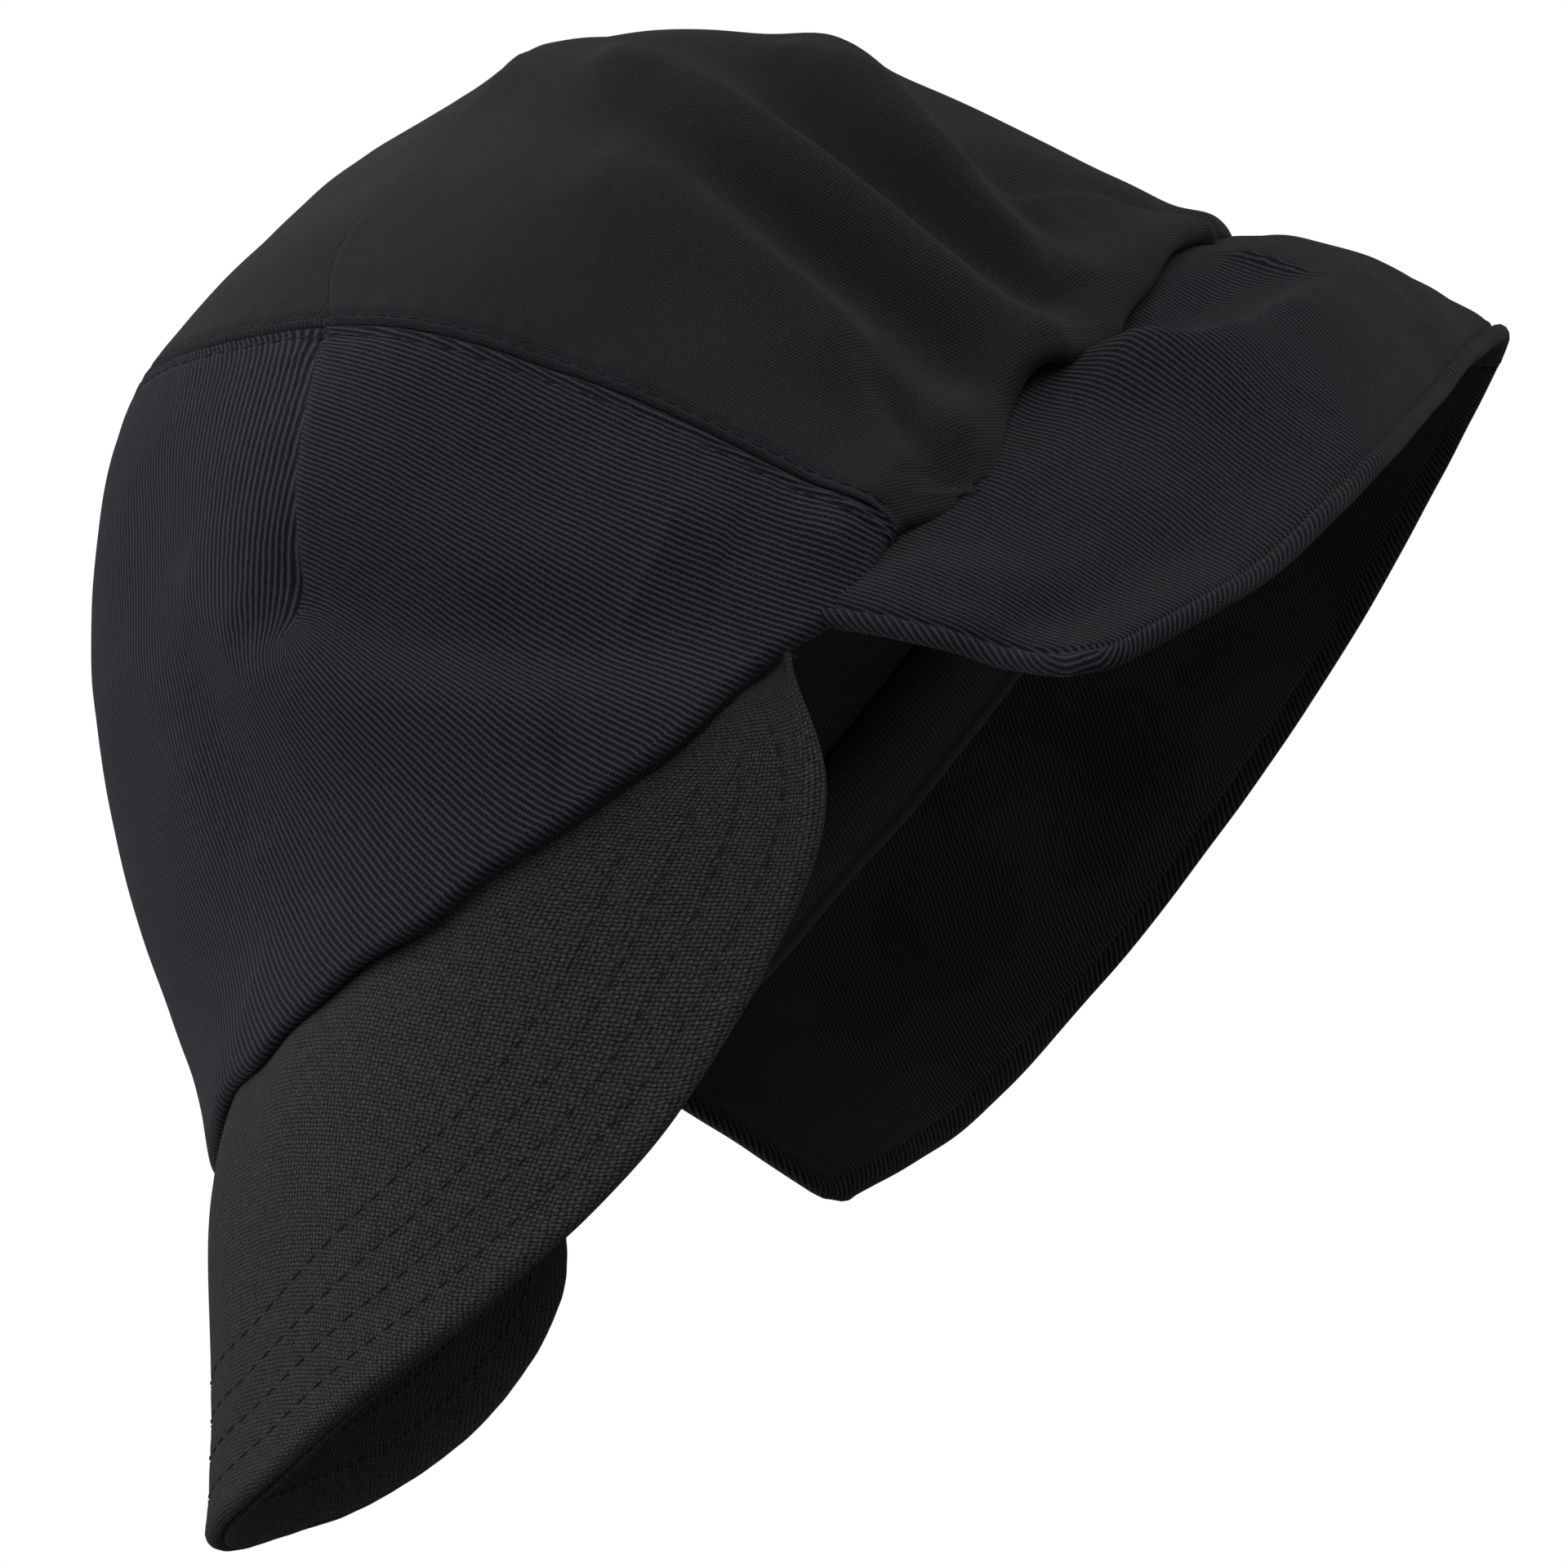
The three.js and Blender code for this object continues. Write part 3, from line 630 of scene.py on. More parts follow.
class Shade:
    """One procedural material and the nodes that make it up."""

    def __init__(self, name: str) -> None:
        """Starts a material with a lone surface shader.

        Args:
            name: the material's name.
        """
        self.material = bpy.data.materials.new(name)
        self.material.use_nodes = True
        self.tree = self.material.node_tree
        self.surface = self.tree.nodes["Principled BSDF"]

    def node(self, kind: str, **inputs: NodeSocket | float | Sequence[float]) -> bpy.types.Node:
        """Adds a node.

        Args:
            kind: what follows "ShaderNode" in its type.
            inputs: sockets to link to its inputs, or values to set them to.

        Returns:
            The node.
        """
        node = self.tree.nodes.new("ShaderNode" + kind)
        for name, value in inputs.items():
            self.feed(node.inputs[name], value)
        return node

    def feed(self, socket: NodeSocket, value: NodeSocket | float | Sequence[float]) -> None:
        """Links a socket to an input, or sets the input.

        Args:
            socket: the input.
            value: the socket to link to it, or its value.
        """
        if isinstance(value, NodeSocket):
            self.tree.links.new(value, socket)
        else:
            socket.default_value = value

    def math(self, operation: str, *values: NodeSocket | float) -> NodeSocket:
        """Adds a Math node.

        Args:
            operation: the node's operation.
            values: numbers or sockets for its inputs.

        Returns:
            Its output.
        """
        node = self.node("Math")
        node.operation = operation
        for socket, value in zip(node.inputs, values):
            self.feed(socket, value)
        return node.outputs[0]

    def cloth(self) -> tuple[NodeSocket, NodeSocket, NodeSocket]:
        """Reads where on its flat cloth a point lies.

        Returns:
            The place as a vector, and its two numbers in millimetres.
        """
        place = self.node("UVMap")
        place.uv_map = CLOTH_MAP
        split = self.node("SeparateXYZ", Vector=place.outputs[0])
        return place.outputs[0], split.outputs[0], split.outputs[1]

    def place(self) -> NodeSocket:
        """Reads a point's place on the object, in metres."""
        return self.node("TexCoord").outputs["Object"]

    def varied(
        self, level: NodeSocket | float, where: NodeSocket, scale: float, size: float, detail: float = 2.0
    ) -> NodeSocket:
        """Adds noise about 0 to a level.

        Args:
            level: the level.
            where: the place at which the noise is read.
            scale: how fine the noise is.
            size: how strong it is.
            detail: how much finer noise it carries.

        Returns:
            The uneven level.
        """
        noise = self.node("TexNoise", Vector=where, Scale=scale, Detail=detail)
        away = self.math("SUBTRACT", noise.outputs["Fac"], 0.5)
        return self.math("MULTIPLY_ADD", away, size, level)

    def wave(self, phase: NodeSocket) -> NodeSocket:
        """Turns a count of periods into a wave from 0 to 1 that is highest at whole numbers."""
        turned = self.math("COSINE", self.math("MULTIPLY", phase, 2 * math.pi))
        return self.math("MULTIPLY_ADD", turned, 0.5, 0.5)

    def dressed(
        self,
        level: NodeSocket,
        colours: Sequence[Sequence[float]],
        depth: float = 0.0,
        roughness: float = 0.95,
        sheen: float = 0.04,
    ) -> Material:
        """Finishes the material as dull cloth.

        Args:
            level: how light and how high the surface is, from 0 to 1.
            colours: its colour at level 0 and at level 1.
            depth: how much higher level 1 lies, in metres.
            roughness: how dull it is.
            sheen: how much its fuzz catches the light.

        Returns:
            The material.
        """
        level = self.math("MINIMUM", self.math("MAXIMUM", level, 0.0), 1.0)
        mix = self.node("Mix")
        mix.data_type = "RGBA"
        for socket, value in zip((mix.inputs[0], *mix.inputs[6:8]), (level, *((*c, 1) for c in colours))):
            self.feed(socket, value)
        looks = {
            "Base Color": mix.outputs[2],
            "Roughness": roughness,
            "Specular IOR Level": 0.2,
            "Sheen Weight": sheen,
            "Sheen Roughness": 0.5,
        }
        if depth:
            looks["Normal"] = self.node("Bump", Height=level, Distance=depth, Strength=1.0).outputs[0]
        for name, value in looks.items():
            self.feed(self.surface.inputs[name], value)
        return self.material


@dataclass(frozen=True)
class Twill:
    """A twill: light ribs, joined by short bars with dark holes between them; the holes' dark is partly the
    yarn's own and partly painted shade.

    The cloth map gives the distance across the ribs and along them.
    """

    name: str
    pitch: float  # the distance between two ribs
    dots: float  # the distance between two bars along a rib
    slope: float  # how far the bars move on from rib to rib
    colours: tuple[Triple, Triple]
    depth: float
    sheen: float = 0.04
    bars: float = 0.42  # how full the bars are
    # how dark the holes are painted: partly the yarn's own tone, partly painted shade
    contrast: float = 2.1
    mean_hole: float = 0.42
    drift: float = 0.6  # how far the ribs bend slowly, and in parts of the pitch how far they wobble
    drift_scale: float = 0.12
    wobble: float = 0.2
    wobble_scale: float = 1.3
    flecks: float = 1.7
    fleck_scale: float = 3.2
    patches: float = 0.3
    patch_scale: float = 42.0

    def material(self) -> Material:
        """Builds the material.

        Returns:
            The material.
        """
        shade = Shade(self.name)
        cloth, across, length = shade.cloth()
        bent = shade.varied(across, cloth, self.drift_scale, self.drift)
        bent = shade.varied(bent, cloth, self.wobble_scale, self.wobble * self.pitch)
        count = shade.math("DIVIDE", bent, self.pitch)
        rib = shade.math("POWER", shade.wave(count), 2.0)
        beat = shade.math("MULTIPLY_ADD", count, self.slope, shade.math("DIVIDE", length, self.dots))
        bar = shade.math("MULTIPLY", shade.wave(beat), self.bars)
        # The holes between the ribs and bars are painted dark, partly as painted shade in them.
        hole = shade.math("MULTIPLY", *(shade.math("SUBTRACT", 1.0, part) for part in (rib, bar)))
        level = shade.math("MULTIPLY_ADD", hole, -self.contrast, 0.5 + self.mean_hole * self.contrast)
        level = shade.varied(level, cloth, self.fleck_scale, self.flecks, 3.0)
        level = shade.varied(level, shade.place(), self.patch_scale, self.patches)
        return shade.dressed(level, self.colours, self.depth, sheen=self.sheen)


@dataclass(frozen=True)
class Canvas:
    """An uneven plain weave; of each set of threads, the distance apart and the turn are given."""

    name: str
    colours: tuple[Triple, Triple]
    threads: tuple[Pair, ...] = ((0.72, -2.5), (0.56, 95.5))
    depth: float = 0.00022
    drift: float = 1.0  # how far the threads bend slowly and how far they wobble, in parts of a period
    drift_scale: float = 0.3
    wobble: float = 0.8
    wobble_scales: Pair = (1.3, 1.7)
    knots: float = 0.22  # how much the knots of one kind stand above those of the other
    # how much lighter the crowns of the crossings are painted, a painted highlight, and the level of the
    # gaps, painted dark as shade
    crowns: float = 1.1
    ground: float = -0.06
    flecks: float = 1.7
    fleck_scale: float = 2.6
    slubs: float = 0.5
    slub_scale: float = 0.5

    def material(self) -> Material:
        """Builds the material.

        Returns:
            The material.
        """
        shade = Shade(self.name)
        cloth, across, length = shade.cloth()
        drift = shade.varied(0.0, cloth, self.drift_scale, self.drift)
        threads = []
        for (pitch, turn), scale in zip(self.threads, self.wobble_scales):
            c = math.cos(math.radians(turn)) / pitch
            s = math.sin(math.radians(turn)) / pitch
            line = shade.math("MULTIPLY_ADD", across, c, shade.math("MULTIPLY", length, s))
            bent = shade.varied(shade.math("ADD", line, drift), cloth, scale, self.wobble)
            threads.append(shade.math("COSINE", shade.math("MULTIPLY", bent, math.pi)))
        knots = shade.math("MULTIPLY", *threads)
        # Partly the threads' own tone: the crossings' crowns are painted light as a painted highlight, and
        # the gaps dark as painted shade.
        crowns = shade.math("POWER", shade.math("ABSOLUTE", knots), 0.7)
        level = shade.math("MULTIPLY_ADD", crowns, self.crowns, self.ground)
        level = shade.math("MULTIPLY_ADD", knots, self.knots, level)
        level = shade.varied(level, cloth, self.fleck_scale, self.flecks, 4.0)
        level = shade.varied(level, cloth, self.slub_scale, self.slubs)
        return shade.dressed(level, self.colours, self.depth)


@dataclass(frozen=True)
class Thread:
    """Sewing thread."""

    name: str = "sewing_thread"
    colours: tuple[Triple, ...] = ((0.003, 0.0045, 0.0084), (0.01, 0.015, 0.028))
    grain: float = 900.0

    def material(self) -> Material:
        """Builds the material.

        Returns:
            The material.
        """
        shade = Shade(self.name)
        level = shade.varied(0.5, shade.place(), self.grain, 1.0)
        return shade.dressed(level, self.colours, roughness=0.8, sheen=0.03)


class Finish(Enum):
    """The cloths and the thread of the cap."""

    STEEP_TWILL = Twill(
        "steep_twill_cloth", 0.77, 0.45, 0.6, ((0.0013, 0.0027, 0.0056), (0.0375, 0.039, 0.0485)), 0.00012
    )
    FLAP_TWILL = Twill(
        "flap_twill_cloth", 0.88, 0.5, 0.6, ((0.0012, 0.0021, 0.0046), (0.032, 0.0307, 0.0372)), 0.00012
    )
    FINE_TWILL = Twill(
        "fine_twill_cloth",
        0.47,
        0.5,
        0.5,
        ((0.0042, 0.0039, 0.0053), (0.0246, 0.0227, 0.0268)),
        0.00005,
        bars=0.5,
        contrast=0.95,
    )
    LINING = Twill(
        "lining_cloth",
        0.6,
        0.54,
        0.9,
        ((0.007, 0.0078, 0.0125), (0.044, 0.0425, 0.049)),
        0.00004,
        patches=2.0,
    )
    # The crown's lining: its brownish tone is its own, but its colours are lifted far above the flap
    # lining's to stand in for light inside the crown, which is painted light.
    CROWN_LINING = Twill(
        "crown_lining_painted_light_cloth",
        0.6,
        0.54,
        0.9,
        ((0.03, 0.027, 0.029), (0.085, 0.075, 0.078)),
        0.00004,
        contrast=1.2,
    )
    CANVAS = Canvas("canvas_cloth", ((0.0034, 0.0034, 0.0048), (0.059, 0.0546, 0.058)))
    THREAD = Thread()

    def material(self) -> Material:
        """Gives this finish's material, which is built once."""
        made = bpy.data.materials.get(self.value.name)
        return made or self.value.material()


def grid_draft(cells: tuple[int, int], level: float = 0.0) -> BMesh:
    """Starts a mesh from a grid whose vertices know their layout.

    Args:
        cells: the number of cells across and up.
        level: the ring step that the grid stands for.

    Returns:
        The mesh, with parts across and up from 0 to 1 and the level in its layout.
    """
    draft = bmesh.new()
    bmesh.ops.create_grid(draft, x_segments=cells[0], y_segments=cells[1], size=0.5)
    layer = draft.verts.layers.float_vector.new(LAYOUT)
    for vertex in draft.verts:
        vertex[layer] = (vertex.co.x + 0.5, vertex.co.y + 0.5, level)
    return draft


def meshed(name: str, draft: BMesh) -> Mesh:
    """Turns a draft into a mesh and frees it.

    Args:
        name: the mesh's name.
        draft: the draft.

    Returns:
        The mesh.
    """
    mesh = bpy.data.meshes.new(name)
    draft.to_mesh(mesh)
    draft.free()
    return mesh


def extrude_ring(
    draft: BMesh,
    chosen: Callable[[float, float], bool],
    steps: int,
    finish_from: int | None = None,
) -> None:
    """Extrudes part of a grid's border several times.

    Args:
        draft: the mesh, whose layout levels become 1, 2 and so on for the new rows.
        chosen: says for a vertex's place across and up whether it is on the part to extrude.
        steps: the number of new rows.
        finish_from: the first row whose faces take the second material.
    """
    layer = draft.verts.layers.float_vector[LAYOUT]
    edges = [
        edge
        for edge in draft.edges
        if edge.is_boundary and all(chosen(vertex[layer][0], vertex[layer][1]) for vertex in edge.verts)
    ]
    for step in range(1, steps + 1):
        made = bmesh.ops.extrude_edge_only(draft, edges=edges)["geom"]
        fresh = {item for item in made if isinstance(item, bmesh.types.BMVert)}
        for vertex in fresh:
            across, up, _ = vertex[layer]
            vertex[layer] = (across, up, step)
        for item in made:
            if isinstance(item, bmesh.types.BMFace) and finish_from is not None and step >= finish_from:
                item.material_index = 1
        edges = [
            item
            for item in made
            if isinstance(item, bmesh.types.BMEdge) and all(vertex in fresh for vertex in item.verts)
        ]


class Draft:
    """A mesh on its way from its layout to its place, with the arrays that numpy works on."""

    def __init__(self, name: str, draft: BMesh) -> None:
        """Takes over a bmesh and reads its layout.

        Args:
            name: the mesh's name.
            draft: the bmesh, with its layout.
        """
        self.mesh = meshed(name, draft)
        values = np.empty(len(self.mesh.vertices) * 3, np.float32)
        self.mesh.attributes[LAYOUT].data.foreach_get("vector", values)
        self.layout = values.reshape(-1, 3).astype(float)

    def corners(self) -> tuple[Array, Array]:
        """Finds what each face corner belongs to.

        Returns:
            The vertex and the face of each face corner.
        """
        vertices = np.empty(len(self.mesh.loops), np.int32)
        self.mesh.loops.foreach_get("vertex_index", vertices)
        sizes = np.empty(len(self.mesh.polygons), np.int32)
        self.mesh.polygons.foreach_get("loop_total", sizes)
        return vertices, np.repeat(np.arange(len(sizes)), sizes)

    def face_means(self, values: Array) -> Array:
        """Gives the mean of a value of the vertices for each face."""
        vertices, faces = self.corners()
        return np.bincount(faces, values[vertices]) / np.bincount(faces)

    def finish(self, points: Array, cloth: Array, inside: Array, weld: bool) -> Mesh:
        """Places the vertices and writes the cloth map.

        Args:
            points: the vertices' places, in millimetres.
            cloth: the cloth map of each vertex, or of each face corner.
            inside: a point behind the piece, which its faces turn away from, if it is open.
            weld: whether the piece closes on itself, so that doubles are merged.

        Returns:
            The finished mesh.
        """
        vertices, _ = self.corners()
        values = cloth if len(cloth) == len(vertices) and len(cloth) != len(points) else cloth[vertices]
        self.mesh.vertices.foreach_set("co", (points * MM).astype(np.float32).ravel())
        layer = self.mesh.uv_layers.new(name=CLOTH_MAP)
        layer.data.foreach_set("uv", values.astype(np.float32).ravel())
        draft = bmesh.new()
        draft.from_mesh(self.mesh)
        if weld:
            bmesh.ops.remove_doubles(draft, verts=draft.verts, dist=WELD)
            bmesh.ops.recalc_face_normals(draft, faces=draft.faces)
        else:
            behind = Vector(inside * MM)
            draft.normal_update()
            facing = sum((face.calc_center_median() - behind).dot(face.normal) for face in draft.faces)
            if facing < 0:
                bmesh.ops.reverse_faces(draft, faces=draft.faces)
        for face in draft.faces:
            face.smooth = True
        draft.to_mesh(self.mesh)
        draft.free()
        self.mesh.attributes.remove(self.mesh.attributes[LAYOUT])
        return self.mesh


def shown(name: str, mesh: Mesh, finishes: Sequence[Finish]) -> Object:
    """Puts a finished mesh into the scene with its materials, riding on the cap.

    Args:
        name: the piece's name.
        mesh: its mesh, in place.
        finishes: its finishes, in the order of its material slots.

    Returns:
        The object.
    """
    piece = bpy.data.objects.new(name, mesh)
    bpy.context.scene.collection.objects.link(piece)
    for finish in finishes:
        mesh.materials.append(finish.material())
    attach(piece, "root")
    log.info("%s: %d faces", name, len(mesh.polygons))
    return piece


@dataclass(frozen=True)
class CrownPanel:
    """A panel of the crown: one layer of cloth with a rolled hem where it reaches the rim."""

    name: str
    node: str
    slot: str
    finish: Finish
    bottom: PlanCurve
    top: PlanCurve
    left: PlanCurve
    right: PlanCurve
    cells: tuple[int, int]
    hem: Callable[[float, float], bool]
    lay: "Lay | None"
    flat: Pair
    area: float
    thickness: float = 1.4
    roll_turn: float = 160.0  # degrees
    roll_steps: int = 9
    ease: float = 0.55  # how much closer the grid's lines lie along the edges
    dart: tuple[float, float, float, float] | None = None  # its column, its level, its lean and its bend
    dart_reach: float = 0.2
    # the inside of a crown panel shows the crown lining, lightened as painted light
    lining: Finish = Finish.CROWN_LINING

    def plan(self, across: Array, up: Array) -> Array:
        """Gives the points of the plan over the panel.

        Args:
            across: the parts across the panel.
            up: the parts up it.

        Returns:
            The points, closer along the panel's edges and with a column of them along the dart.
        """
        turn = 2 * math.pi
        across, up = (part - self.ease * np.sin(turn * part) / turn for part in (across, up))
        if self.dart is not None:
            column, level, lean, bend = self.dart
            away = np.abs(np.abs(across - 0.5) - column) / self.dart_reach
            move = lean * (up - level) + bend * (up - level) ** 2
            across = across + np.sign(across - 0.5) * move * np.cos(np.clip(away, 0, 1) * math.pi / 2) ** 2
        u = across[:, None]
        v = up[:, None]
        ends = [curve(np.array([0.0, 1.0])) for curve in (self.bottom, self.top)]
        sides = (1 - v) * self.bottom(across) + v * self.top(across)
        sides += (1 - u) * self.left(up) + u * self.right(up)
        corners = (1 - v) * ((1 - u) * ends[0][0] + u * ends[0][1])
        corners += v * ((1 - u) * ends[1][0] + u * ends[1][1])
        return sides - corners

    def build(self, form: CrownForm) -> Object:
        """Builds and dresses the panel.

        Args:
            form: the crown's surface.

        Returns:
            The finished piece.
        """
        draft = grid_draft(self.cells)
        extrude_ring(draft, self.hem, self.roll_steps)
        work = Draft(self.name, draft)
        across, up, step = work.layout.T
        plan = self.plan(across, up)
        points = np.empty((len(plan), 3))
        ring = step > 0.5
        points[~ring] = form.point(plan[~ring])
        at, normal, down = form.frames(plan[ring])
        angle = angle_of(plan[ring])
        radius = form.hem_radius(angle)
        turn = np.radians(self.roll_turn) * step[ring] / self.roll_steps
        lower = down * (radius * np.sin(turn))[:, None]
        points[ring] = at + lower - normal * (radius * (1 - np.cos(turn)))[:, None]
        below = np.zeros(len(plan))
        below[ring] = radius * turn
        cloth = self.corner_map(work, plan, points, below, down)
        mesh = work.finish(points, cloth, HEAD_MIDDLE, False)
        piece = shown(self.name, mesh, (self.finish, self.lining))
        wall = piece.modifiers.new("cloth", "SOLIDIFY")
        wall.thickness = self.thickness * MM
        wall.offset = -1
        wall.use_even_offset = False
        wall.material_offset = 1
        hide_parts(self.node)
        return piece

    def corner_map(self, work: "Draft", plan: Array, points: Array, below: Array, down: Array) -> Array:
        """Gives the cloth map of every face corner.

        Args:
            work: the draft of the mesh.
            plan: the plan of each vertex.
            points: the place of each vertex.
            below: how far each vertex lies down the rolled hem.
            down: the way down along the cloth at each vertex of the hem.

        Returns:
            The cloth map of the face corners.
        """
        vertices, faces = work.corners()
        if self.lay is None:
            return centre_map(plan, points, below)[vertices]
        column = np.rint(work.layout[:, 0] * self.cells[0]).astype(int)
        row = np.rint(work.layout[:, 1] * self.cells[1]).astype(int)
        ring = work.layout[:, 2] > 0.5
        shape = (self.cells[0] + 1, self.cells[1] + 1)
        plan_grid = np.zeros((*shape, 2))
        point_grid = np.zeros((*shape, 3))
        plan_grid[column[~ring], row[~ring]] = plan[~ring]
        point_grid[column[~ring], row[~ring]] = points[~ring]
        fields, ways = self.lay.cloth(plan_grid, point_grid)
        values = fields[column, row]
        values[ring] += dot(ways[column[ring], row[ring]], down[:, None]) * below[ring][:, None]
        corners = values[vertices]
        side = self.lay.sides(plan)
        side[ring] = 0
        crossed = work.face_means(np.abs(side)) > np.abs(work.face_means(side)) + 0.1
        for face in np.flatnonzero(crossed):
            mine = np.flatnonzero(faces == face)
            around = vertices[mine]
            ruling = 1.0 if side[around].sum() > 0 else -1.0
            known = around[side[around] == ruling][0]
            for corner, vertex in zip(mine, around):
                if side[vertex] == -ruling:
                    move = points[vertex] - points[known]
                    corners[corner] = values[known] + ways[column[known], row[known]] @ move
        return corners


def rib_lines(across_way: float, sideways: Array, upwards: Array) -> Array:
    """Turns flat coordinates so that the first runs across the ribs of the cloth.

    Args:
        across_way: the turn of the way across the ribs from the sideways way, in degrees.
        sideways: the distance sideways, in millimetres.
        upwards: the distance upwards.

    Returns:
        The distances across and along the ribs.
    """
    c = math.cos(math.radians(across_way))
    s = math.sin(math.radians(across_way))
    return np.stack([c * sideways + s * upwards, c * upwards - s * sideways], -1)


@dataclass(frozen=True)
class Lay:
    """How the ribs of a panel's twill run over it.

    A reading is (angle, rise, slope): the slope of the ribs at a place of the left side, in degrees
    below level towards a growing angle. Readings on the two sides of a dart stay apart above its tip.
    """

    readings: tuple[Triple, ...]
    behind: tuple[Triple, ...] = ()
    spread: float = 14.0
    turns: int = 500

    def sides(self, plan: Array) -> Array:
        """Says on which side of a dart points of the plan lie.

        Args:
            plan: the points.

        Returns:
            1 in front of a dart, -1 behind it, and 0 below its tip and where there is none.
        """
        if not self.behind:
            return np.zeros(plan.shape[:-1])
        flat = np.stack([np.abs(plan[..., 0]), plan[..., 1]], -1) * PLAN_SCALE
        distance, side, way = nearest_on_route(flat, dart_line() * PLAN_SCALE)
        return np.where(way > 0.9999, 0.0, np.where((side > 0) | (distance < 0.4), 1.0, -1.0))

    def slopes(self, plan: Array) -> Array:
        """Gives the slope of the ribs.

        Args:
            plan: points of the plan.

        Returns:
            The slope at each point, in degrees.
        """
        flat = np.stack([np.abs(plan[..., 0]), plan[..., 1]], -1) * PLAN_SCALE
        past_rim = plan_point(np.array([31.0]), np.array([-0.1]))
        _, side, _ = nearest_on_route(flat, np.concatenate([dart_line(), past_rim]) * PLAN_SCALE)
        rise = 1 - np.hypot(plan[..., 0], plan[..., 1])
        tip = DART_ROUTE[-1][1]
        apart = smooth_step(tip - 0.16, tip + 0.02, rise)
        total = np.zeros(plan.shape[:-1])
        weights = np.full(plan.shape[:-1], 1e-12)
        for table, way in ((self.readings, 1.0), (self.behind, -1.0)):
            for angle, place, slope in table:
                away = np.linalg.norm(flat - plan_point(angle, place) * PLAN_SCALE, axis=-1)
                weight = bell(away, self.spread) + 2e-3 / (1 + (away / self.spread) ** 2)
                if self.behind:
                    weight = weight * np.where(side * way > 0, 1.0, 1.0 - apart)
                total += weight * slope
                weights += weight
        return total / weights

    def cloth(self, plan: Array, points: Array) -> tuple[Array, Array]:
        """Flattens the cloth so that its map runs across and along the ribs.

        Args:
            plan: the plan of a grid of points, by column and row.
            points: the grid's points on the cloth, in millimetres.

        Returns:
            The cloth map of the grid, and for each point the two ways in which its numbers grow.
        """
        normal = unit(np.cross(np.gradient(points, axis=0), np.gradient(points, axis=1)))
        normal = turned_to(normal, points - HEAD_MIDDLE)
        level = unit(np.cross(np.array([0.0, 0.0, 1.0]), normal))
        down = np.cross(level, normal)
        slope = np.radians(self.slopes(plan))[..., None]
        ribs = np.cos(slope) * level + np.sin(slope) * down
        ways = np.stack([np.cross(normal, ribs), ribs], -2)
        side = self.sides(plan)
        across_dart = side[1:] * side[:-1] < 0, side[:, 1:] * side[:, :-1] < 0
        joined = [np.where(parted, 1e-4, 1.0) for parted in across_dart]
        fields = [unrolled(points, ways[..., k, :], joined, self.turns) for k in range(2)]
        return np.stack(fields, -1), ways


def unrolled(points: Array, way: Array, joined: Sequence[Array], turns: int) -> Array:
    """Finds the numbers over a grid that grow along a way as nearly as they can.

    It settles the numbers by conjugate gradients, from the differences between neighbours.

    Args:
        points: the grid's points.
        way: at each point, the unit vector along which the number should grow.
        joined: how firmly neighbours across and neighbours up are joined.
        turns: the number of rounds.

    Returns:
        The numbers, in millimetres.
    """
    wanted = [
        joined[0] * dot(way[1:] + way[:-1], np.diff(points, axis=0)) / 2,
        joined[1] * dot(way[:, 1:] + way[:, :-1], np.diff(points, axis=1)) / 2,
    ]

    def gathered(across: Array, up: Array) -> Array:
        """Adds up what each point's neighbours say.

        Args:
            across: a number for each two neighbours across the grid.
            up: a number for each two neighbours up it.

        Returns:
            The sum at each point.
        """
        total = np.zeros(points.shape[:2])
        total[1:] += across
        total[:-1] -= across
        total[:, 1:] += up
        total[:, :-1] -= up
        return total

    field = np.zeros(points.shape[:2])
    rest = gathered(*wanted)
    step = rest.copy()
    size = (rest * rest).sum()
    for _ in range(turns):
        change = gathered(*(firm * np.diff(step, axis=k) for k, firm in enumerate(joined)))
        share = size / max((step * change).sum(), 1e-30)
        field += share * step
        rest -= share * change
        fresh = (rest * rest).sum()
        step = rest + step * (fresh / max(size, 1e-30))
        size = fresh
    return field


BAND_LAY = Lay(
    readings=(
        (0, 0.5, 97), (0, 0.1, 95), (10, 0.3, 96), (25, 0.54, 95), (34, 0.53, 103),
        (31, 0.42, 104), (43, 0.53, 105), (39, 0.43, 106), (14, 0.15, 100), (30, 0.18, 99),
        (25, 0.06, 95), (35, 0.08, 101), (45, 0.08, 97),
    ),
    behind=(
        (50, 0.5, 82), (44, 0.38, 74), (40, 0.3, 74), (58, 0.43, 84), (53, 0.35, 79),
        (49, 0.29, 79), (64, 0.36, 85), (55, 0.24, 81), (69, 0.29, 86), (58, 0.16, 77),
        (52, 0.07, 84), (45, 0.2, 80), (72, 0.22, 80), (67, 0.16, 72), (62, 0.09, 72),
        (75, 0.14, 68), (70, 0.08, 70), (78, 0.1, 69),
    ),
)
SIDE_LAY = Lay(
    readings=(
        (52, 0.68, -14), (64, 0.62, -4), (65, 0.53, 13), (71, 0.48, 20), (74, 0.34, 19),
        (85, 0.25, 22), (81, 0.12, 23), (84, 0.05, 38), (90, 0.05, 46), (98, 0.2, 19),
        (99, 0.08, 21), (115, 0.14, 15), (140, 0.2, 18), (120, 0.5, 18),
    ),
)


def centre_map(plan: Array, place: Array, below: Array) -> Array:
    """Lays the middle panel's twill, whose ribs run backwards and to the left."""
    return rib_lines(-30.0, place[:, 0], plan[:, 1] * CENTRE_SCALE + below)


